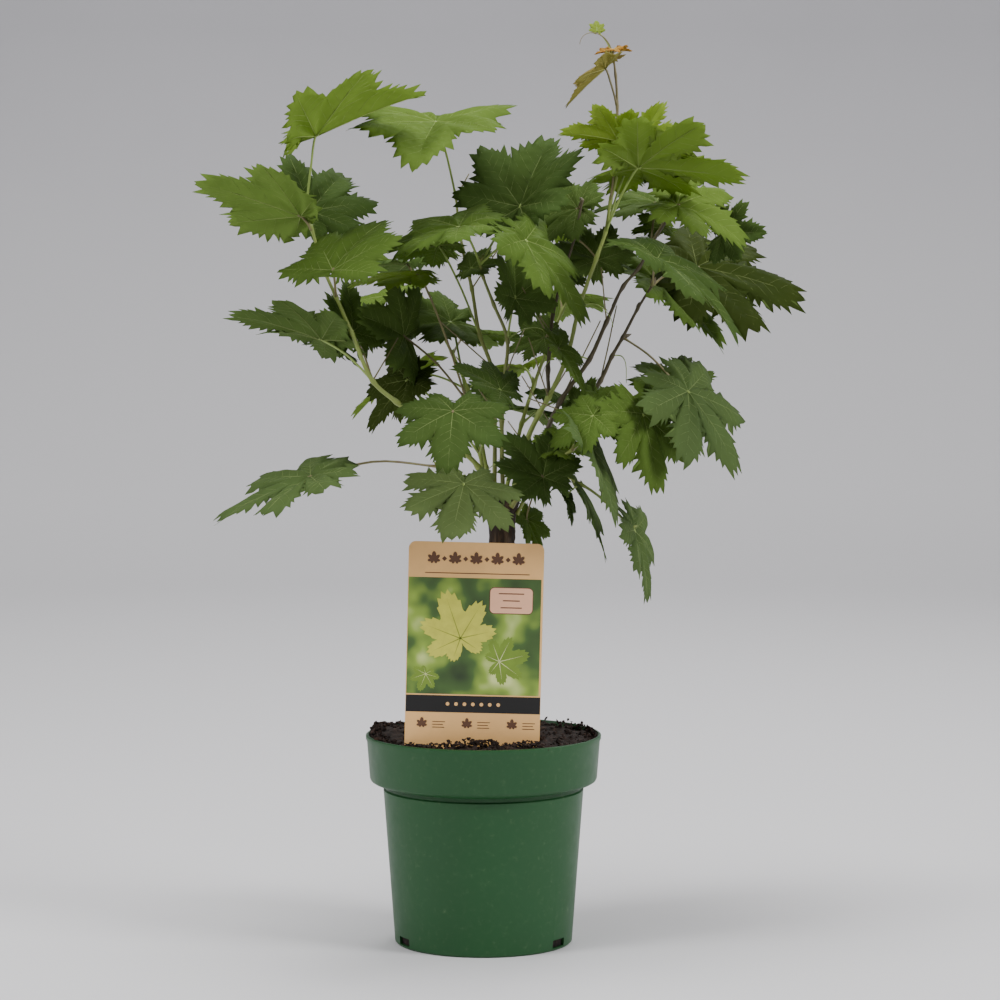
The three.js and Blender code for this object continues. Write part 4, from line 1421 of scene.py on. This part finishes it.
# How deeply a printed leaf is cut, and the count of points on its edge

PRINTED_CUT = 0.2
PRINTED_POINTS = 96


def leaf_shape(bm, x, z, size, turn, seed):
    """A flat toothed leaf, its tip turned clockwise from upright."""
    outline = Outline(PRINTED_CUT, random.Random(seed))
    angles = np.linspace(-180, 180, PRINTED_POINTS + 1)[:-1]
    reach = outline.reach(angles) * size * np.where(np.arange(PRINTED_POINTS) % 2, 1.08, 0.97)
    ahead = np.radians(angles + turn)
    verts = [bm.verts.new((x + r * math.sin(a), 0, z + r * math.cos(a))) for r, a in zip(reach, ahead)]
    hub = bm.verts.new((x, 0, z))
    for first, second in zip(verts, verts[1:] + verts[:1]):
        bm.faces.new((hub, first, second))


def leaf_ribs(bm, x, z, size, turn, seed):
    """The ribs of such a leaf as thin wedges."""
    outline = Outline(PRINTED_CUT, random.Random(seed))
    for at, far in outline.lobes:
        for way in mirrored(at):
            along = math.radians(turn + way)
            ahead = (math.sin(along), math.cos(along))
            side = (ahead[1] * 0.011 * size, -ahead[0] * 0.011 * size)
            reach = 0.9 * far * size
            tip = (x + ahead[0] * reach, z + ahead[1] * reach)
            corners = [(x - side[0], z - side[1]), tip, (x + side[0], z + side[1])]
            bm.faces.new([bm.verts.new((px, 0, pz)) for px, pz in corners])


def print_layer(name, draw, proud, material):
    """A printed layer, drawn in the tag's plane, that stands a little proud of the card."""
    bm = bmesh.new()
    draw(bm)
    half = settings("tag").thickness / 2
    thicken(bm, -half - proud, -half + 0.0002)
    bmesh.ops.transform(bm, matrix=tag_place(), verts=bm.verts)
    dress(from_bmesh(name, bm, [material], smooth=False), "tag")


def build_card():
    """The tag's card, and its foot in the soil."""
    tag = settings("tag")
    half = tag.width / 2
    foot = tag.foot_width / 2
    top = tag.top - tag.shoulder
    card = tuple(settings("colours").card)
    bm = bmesh.new()
    made = rectangle(bm, -half, half, 0, top)
    corners = [v for v in made if v.co.z > top - 1e-5]
    bmesh.ops.bevel(bm, geom=corners, offset=tag.corner, segments=6, profile=0.5, affect="VERTICES",
                    material=-1)
    thicken(bm, -tag.thickness / 2, tag.thickness / 2)
    bmesh.ops.transform(bm, matrix=tag_place(), verts=bm.verts)
    dress(from_bmesh("tag_card", bm, [card_finish("card", card)], smooth=False), "tag", "picture_tag")
    bm = bmesh.new()
    rectangle(bm, -foot, foot, tag.foot_height - tag.shoulder, 0.001)
    thicken(bm, -tag.thickness / 2 + 0.0001, tag.thickness / 2 - 0.0001)
    bmesh.ops.transform(bm, matrix=tag_place(), verts=bm.verts)
    dress(from_bmesh("tag_foot", bm, [card_finish("card", card)], smooth=False), "tag", "picture_tag")


# Printed leaves in metres and degrees: x from the tag's middle, height above the picture's foot, length,
# turn and seed

BIG_LEAF = (-0.010, 0.040, 0.034, -20, 4)
FAR_LEAVES = ((0.018, 0.024, 0.021, 75, 5), (-0.034, 0.014, 0.0125, 200, 6))
MARK_SEED = 7


def build_print():
    """The tag's print: a picture field with leaves, a plate with bars, a dark band and rows of marks."""
    tag = settings("tag")
    colours = settings("colours")
    half = tag.width / 2
    upper = tag.top - tag.shoulder - tag.head_band
    lower = upper - tag.picture
    dark_low = lower - 0.001 - tag.dark_band

    def picture(bm):
        rectangle(bm, -half + 0.0005, half - 0.0015, lower, upper)

    def dark(bm):
        rectangle(bm, -half + 0.0003, half - 0.0003, dark_low, lower - 0.001)

    def each_leaf(shape, leaves):
        def draw(bm):
            for x, z, size, turn, seed in leaves:
                shape(bm, x, lower + z, size, turn, seed)

        return draw

    def plate(bm, grow):
        made = rectangle(bm, 0.010 - grow, 0.041 + grow, lower + 0.058 - grow, lower + 0.077 + grow)
        bmesh.ops.bevel(bm, geom=made, offset=0.0035 + grow, segments=6, profile=0.5, affect="VERTICES",
                        material=-1)

    def bars(bm):
        for i, half_bar in enumerate((0.009, 0.006, 0.0075)):
            z = lower + 0.0725 - 0.0050 * i
            rectangle(bm, 0.0255 - half_bar, 0.0255 + half_bar, z - 0.0004, z + 0.0004)

    def marks(bm):
        rectangle(bm, -half + 0.012, half - 0.010, upper + 0.0030, upper + 0.0036)
        for i in range(5):
            leaf_shape(bm, -0.030 + 0.0150 * i, upper + 0.0125, 0.0060, 0, MARK_SEED)
        for i in range(4):
            made = rectangle(bm, -0.0013, 0.0013, -0.0013, 0.0013)
            place = Matrix.Translation((-0.0225 + 0.0150 * i, 0, upper + 0.0135))
            turn = Matrix.Rotation(math.radians(45), 4, "Y")
            bmesh.ops.transform(bm, matrix=place @ turn, verts=made)
        for x in (-0.036, -0.004, 0.028):
            leaf_shape(bm, x, dark_low - 0.0090, 0.0050, 0, MARK_SEED)
            for z, reach in ((0.0066, 0.0165), (0.0086, 0.0150), (0.0106, 0.0160)):
                rectangle(bm, x + 0.0075, x + reach, dark_low - z - 0.0005, dark_low - z)

    def dots(bm):
        for i in range(7):
            disc(bm, -0.018 + 0.006 * i, dark_low + tag.dark_band / 2, 0.0013)

    card = card_finish("card", tuple(colours.card))
    mark = card_finish("card_mark", tuple(colours.card_mark))
    band = card_finish("card_dark", tuple(colours.card_dark))
    leaf_green = card_finish("tag_leaf_green", rgb("6f8a2c"), 0.25)
    leaf_pale = card_finish("tag_leaf_pale", rgb("c3c24a"), 0.25)
    far_rib = card_finish("tag_rib", rgb("dfe0a4"), 0.1)
    big_rib = card_finish("tag_rib_dark", rgb("7f8a2a"), 0.1)
    peach = card_finish("tag_peach", rgb("ecb592"))
    for name, draw, proud, material in (
        ("tag_picture_field", picture, 0.00012, picture_finish()),
        ("tag_dark_band", dark, 0.00012, band),
        ("tag_far_leaves", each_leaf(leaf_shape, FAR_LEAVES), 0.00018, leaf_green),
        ("tag_far_ribs", each_leaf(leaf_ribs, FAR_LEAVES), 0.00022, far_rib),
        ("tag_big_leaf", each_leaf(leaf_shape, [BIG_LEAF]), 0.00026, leaf_pale),
        ("tag_big_ribs", each_leaf(leaf_ribs, [BIG_LEAF]), 0.00030, big_rib),
        ("tag_plate_edge", lambda bm: plate(bm, 0.0), 0.00034, mark),
        ("tag_plate", lambda bm: plate(bm, -0.0005), 0.00038, peach),
        ("tag_bars", bars, 0.00042, mark),
        ("tag_marks", marks, 0.00012, mark),
        ("tag_dots", dots, 0.00020, card),
    ):
        print_layer(name, draw, proud, material)


# Stage


# The lamps as (name, place, what each points at, size, power)

LAMPS = (
    ("lamp_over", (-0.2, -0.2, 2.2), (0, 0, 0.35), 1.1, 36),
    ("lamp_left", (-1.9, -1.1, 1.4), (0, 0, 0.3), 0.8, 36),
    ("lamp_right", (1.9, -1.0, 1.4), (0, 0, 0.3), 0.8, 48),
    ("lamp_back", (0.5, 1.4, 1.7), (0, 0, 0.45), 0.9, 12),
    ("lamp_wall", (0, 2.0, 2.6), (0, 4.2, 0.5), 1.0, 38),
)
AIR_COLOUR = rgb("dcdcde")
AIR_STRENGTH = 0.37

# The camera of the photograph: its focal length in pixels, the picture's and the sensor's width, its place,
# and how far it looks down in degrees

FOCAL_PIXELS = 3469
PICTURE_PIXELS = 1000
SENSOR_WIDTH = 36
EYE_PLACE = (0.012, -2.5, 0.51)
EYE_DOWN = 4.30

# The paper's flat floor, the bend behind it and the top of its wall, in metres

FLOOR_RADIUS = 2.6
BEND_RADIUS = 1.6
WALL_TOP = 3.0


def build_floor():
    """A round paper floor that bends up into a wall, its faces turned inward."""
    bend = [(FLOOR_RADIUS + BEND_RADIUS * math.sin(t), BEND_RADIUS - BEND_RADIUS * math.cos(t))
            for t in np.linspace(0, math.pi / 2, 25)]
    bm = spun([(0, 0), *bend, (FLOOR_RADIUS + BEND_RADIUS, WALL_TOP)], 128)
    outward = [face for face in bm.faces
               if face.normal.z < -0.01 or face.calc_center_median().dot(face.normal) > 0.01]
    bmesh.ops.reverse_faces(bm, faces=outward)
    finish = Finish("studio_paper")
    # Painted shade: the paper darkens with height up the wall, where less light reaches, under a faint mottle
    height = finish.node("ShaderNodeSeparateXYZ", None, {0: finish.place()}, output=2)
    paper = finish.ramp(height, [(0.1, rgb("d4d3d5")), (0.9, rgb("a8a7ab"))])
    paper = finish.blend(finish.cloud(3, 3) * 0.2, paper, rgb("cfced1"))
    sweep = from_bmesh("studio_sweep", bm, [finish.shade(Base_Color=paper, Roughness=0.9)])


def build_lights():
    """Soft square lamps, and the grey air that fills the shadows."""
    scene = bpy.context.scene
    scene.world = bpy.data.worlds.new("studio_air")
    scene.world.use_nodes = True
    air = scene.world.node_tree.nodes["Background"]
    air.inputs["Color"].default_value = (*AIR_COLOUR, 1)
    air.inputs["Strength"].default_value = AIR_STRENGTH
    for name, place, target, size, power in LAMPS:
        lamp = bpy.data.lights.new(name, "AREA")
        lamp.shape = "SQUARE"
        lamp.size = size
        lamp.energy = power
        holder = bpy.data.objects.new(name, lamp)
        holder.location = place
        aimed = Vector(target) - Vector(place)
        holder.rotation_euler = aimed.to_track_quat("-Z", "Y").to_euler()
        scene.collection.objects.link(holder)


def build_camera():
    """The camera at the photograph's viewing angle."""
    scene = bpy.context.scene
    lens = bpy.data.cameras.new("camera")
    lens.lens = FOCAL_PIXELS / PICTURE_PIXELS * SENSOR_WIDTH
    lens.sensor_width = SENSOR_WIDTH
    eye = bpy.data.objects.new("camera", lens)
    eye.location = EYE_PLACE
    eye.rotation_euler = (math.radians(90 - EYE_DOWN), 0, 0)
    scene.collection.objects.link(eye)
    scene.camera = eye


# Operators


class VINE_OT_pot(bpy.types.Operator):
    """Build the pot"""

    bl_idname = "vine.pot"
    bl_label = "Pot"

    def execute(self, context):
        build_pot()
        return {"FINISHED"}


class VINE_OT_soil(bpy.types.Operator):
    """Build the soil and its crumbs"""

    bl_idname = "vine.soil"
    bl_label = "Soil"

    def execute(self, context):
        build_soil()
        build_crumbs()
        return {"FINISHED"}


class VINE_OT_tag(bpy.types.Operator):
    """Build the picture tag"""

    bl_idname = "vine.tag"
    bl_label = "Tag"

    def execute(self, context):
        build_card()
        build_print()
        return {"FINISHED"}


class VINE_OT_trunk(bpy.types.Operator):
    """Build the old trunk"""

    bl_idname = "vine.trunk"
    bl_label = "Trunk"

    def execute(self, context):
        build_trunk()
        return {"FINISHED"}


class VINE_OT_canes(bpy.types.Operator):
    """Build the bare canes"""

    bl_idname = "vine.canes"
    bl_label = "Canes"

    def execute(self, context):
        for name in SHOOTS:
            build_cane(name)
        return {"FINISHED"}


class VINE_OT_foliage(bpy.types.Operator):
    """Build the leaves, their stalks, buds and tendrils"""

    bl_idname = "vine.foliage"
    bl_label = "Foliage"

    def execute(self, context):
        for name in SHOOTS:
            build_foliage(name)
        return {"FINISHED"}


class VINE_OT_stage(bpy.types.Operator):
    """Set up the floor, the lights and the camera"""

    bl_idname = "vine.stage"
    bl_label = "Stage"

    def execute(self, context):
        build_floor()
        build_lights()
        build_camera()
        return {"FINISHED"}


STEPS = ["stage", "pot", "soil", "tag", "trunk", "canes", "foliage"]


class VINE_PT_panel(bpy.types.Panel):
    """The vine's sizes, colours and building steps"""

    bl_idname = "VINE_PT_panel"
    bl_label = "Potted grape vine"
    bl_space_type = "VIEW_3D"
    bl_region_type = "UI"
    bl_category = "Vine"

    def draw(self, context):
        for group, kind in GROUPS.items():
            box = self.layout.box()
            for key in kind.__annotations__:
                box.prop(settings(group), key)
        for step in STEPS:
            self.layout.operator("vine." + step)


CLASSES = [*GROUPS.values(), VINE_OT_pot, VINE_OT_soil, VINE_OT_tag, VINE_OT_trunk, VINE_OT_canes,
           VINE_OT_foliage, VINE_OT_stage, VINE_PT_panel]


def register():
    for item in CLASSES:
        bpy.utils.register_class(item)
    for group, kind in GROUPS.items():
        setattr(bpy.types.Scene, "vine_" + group, PointerProperty(type=kind))


def unregister():
    for group in GROUPS:
        delattr(bpy.types.Scene, "vine_" + group)
    for item in reversed(CLASSES):
        bpy.utils.unregister_class(item)


def main():
    register()
    for step in STEPS:
        getattr(bpy.ops.vine, step)()
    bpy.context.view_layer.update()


if __name__ == "__main__":
    main()
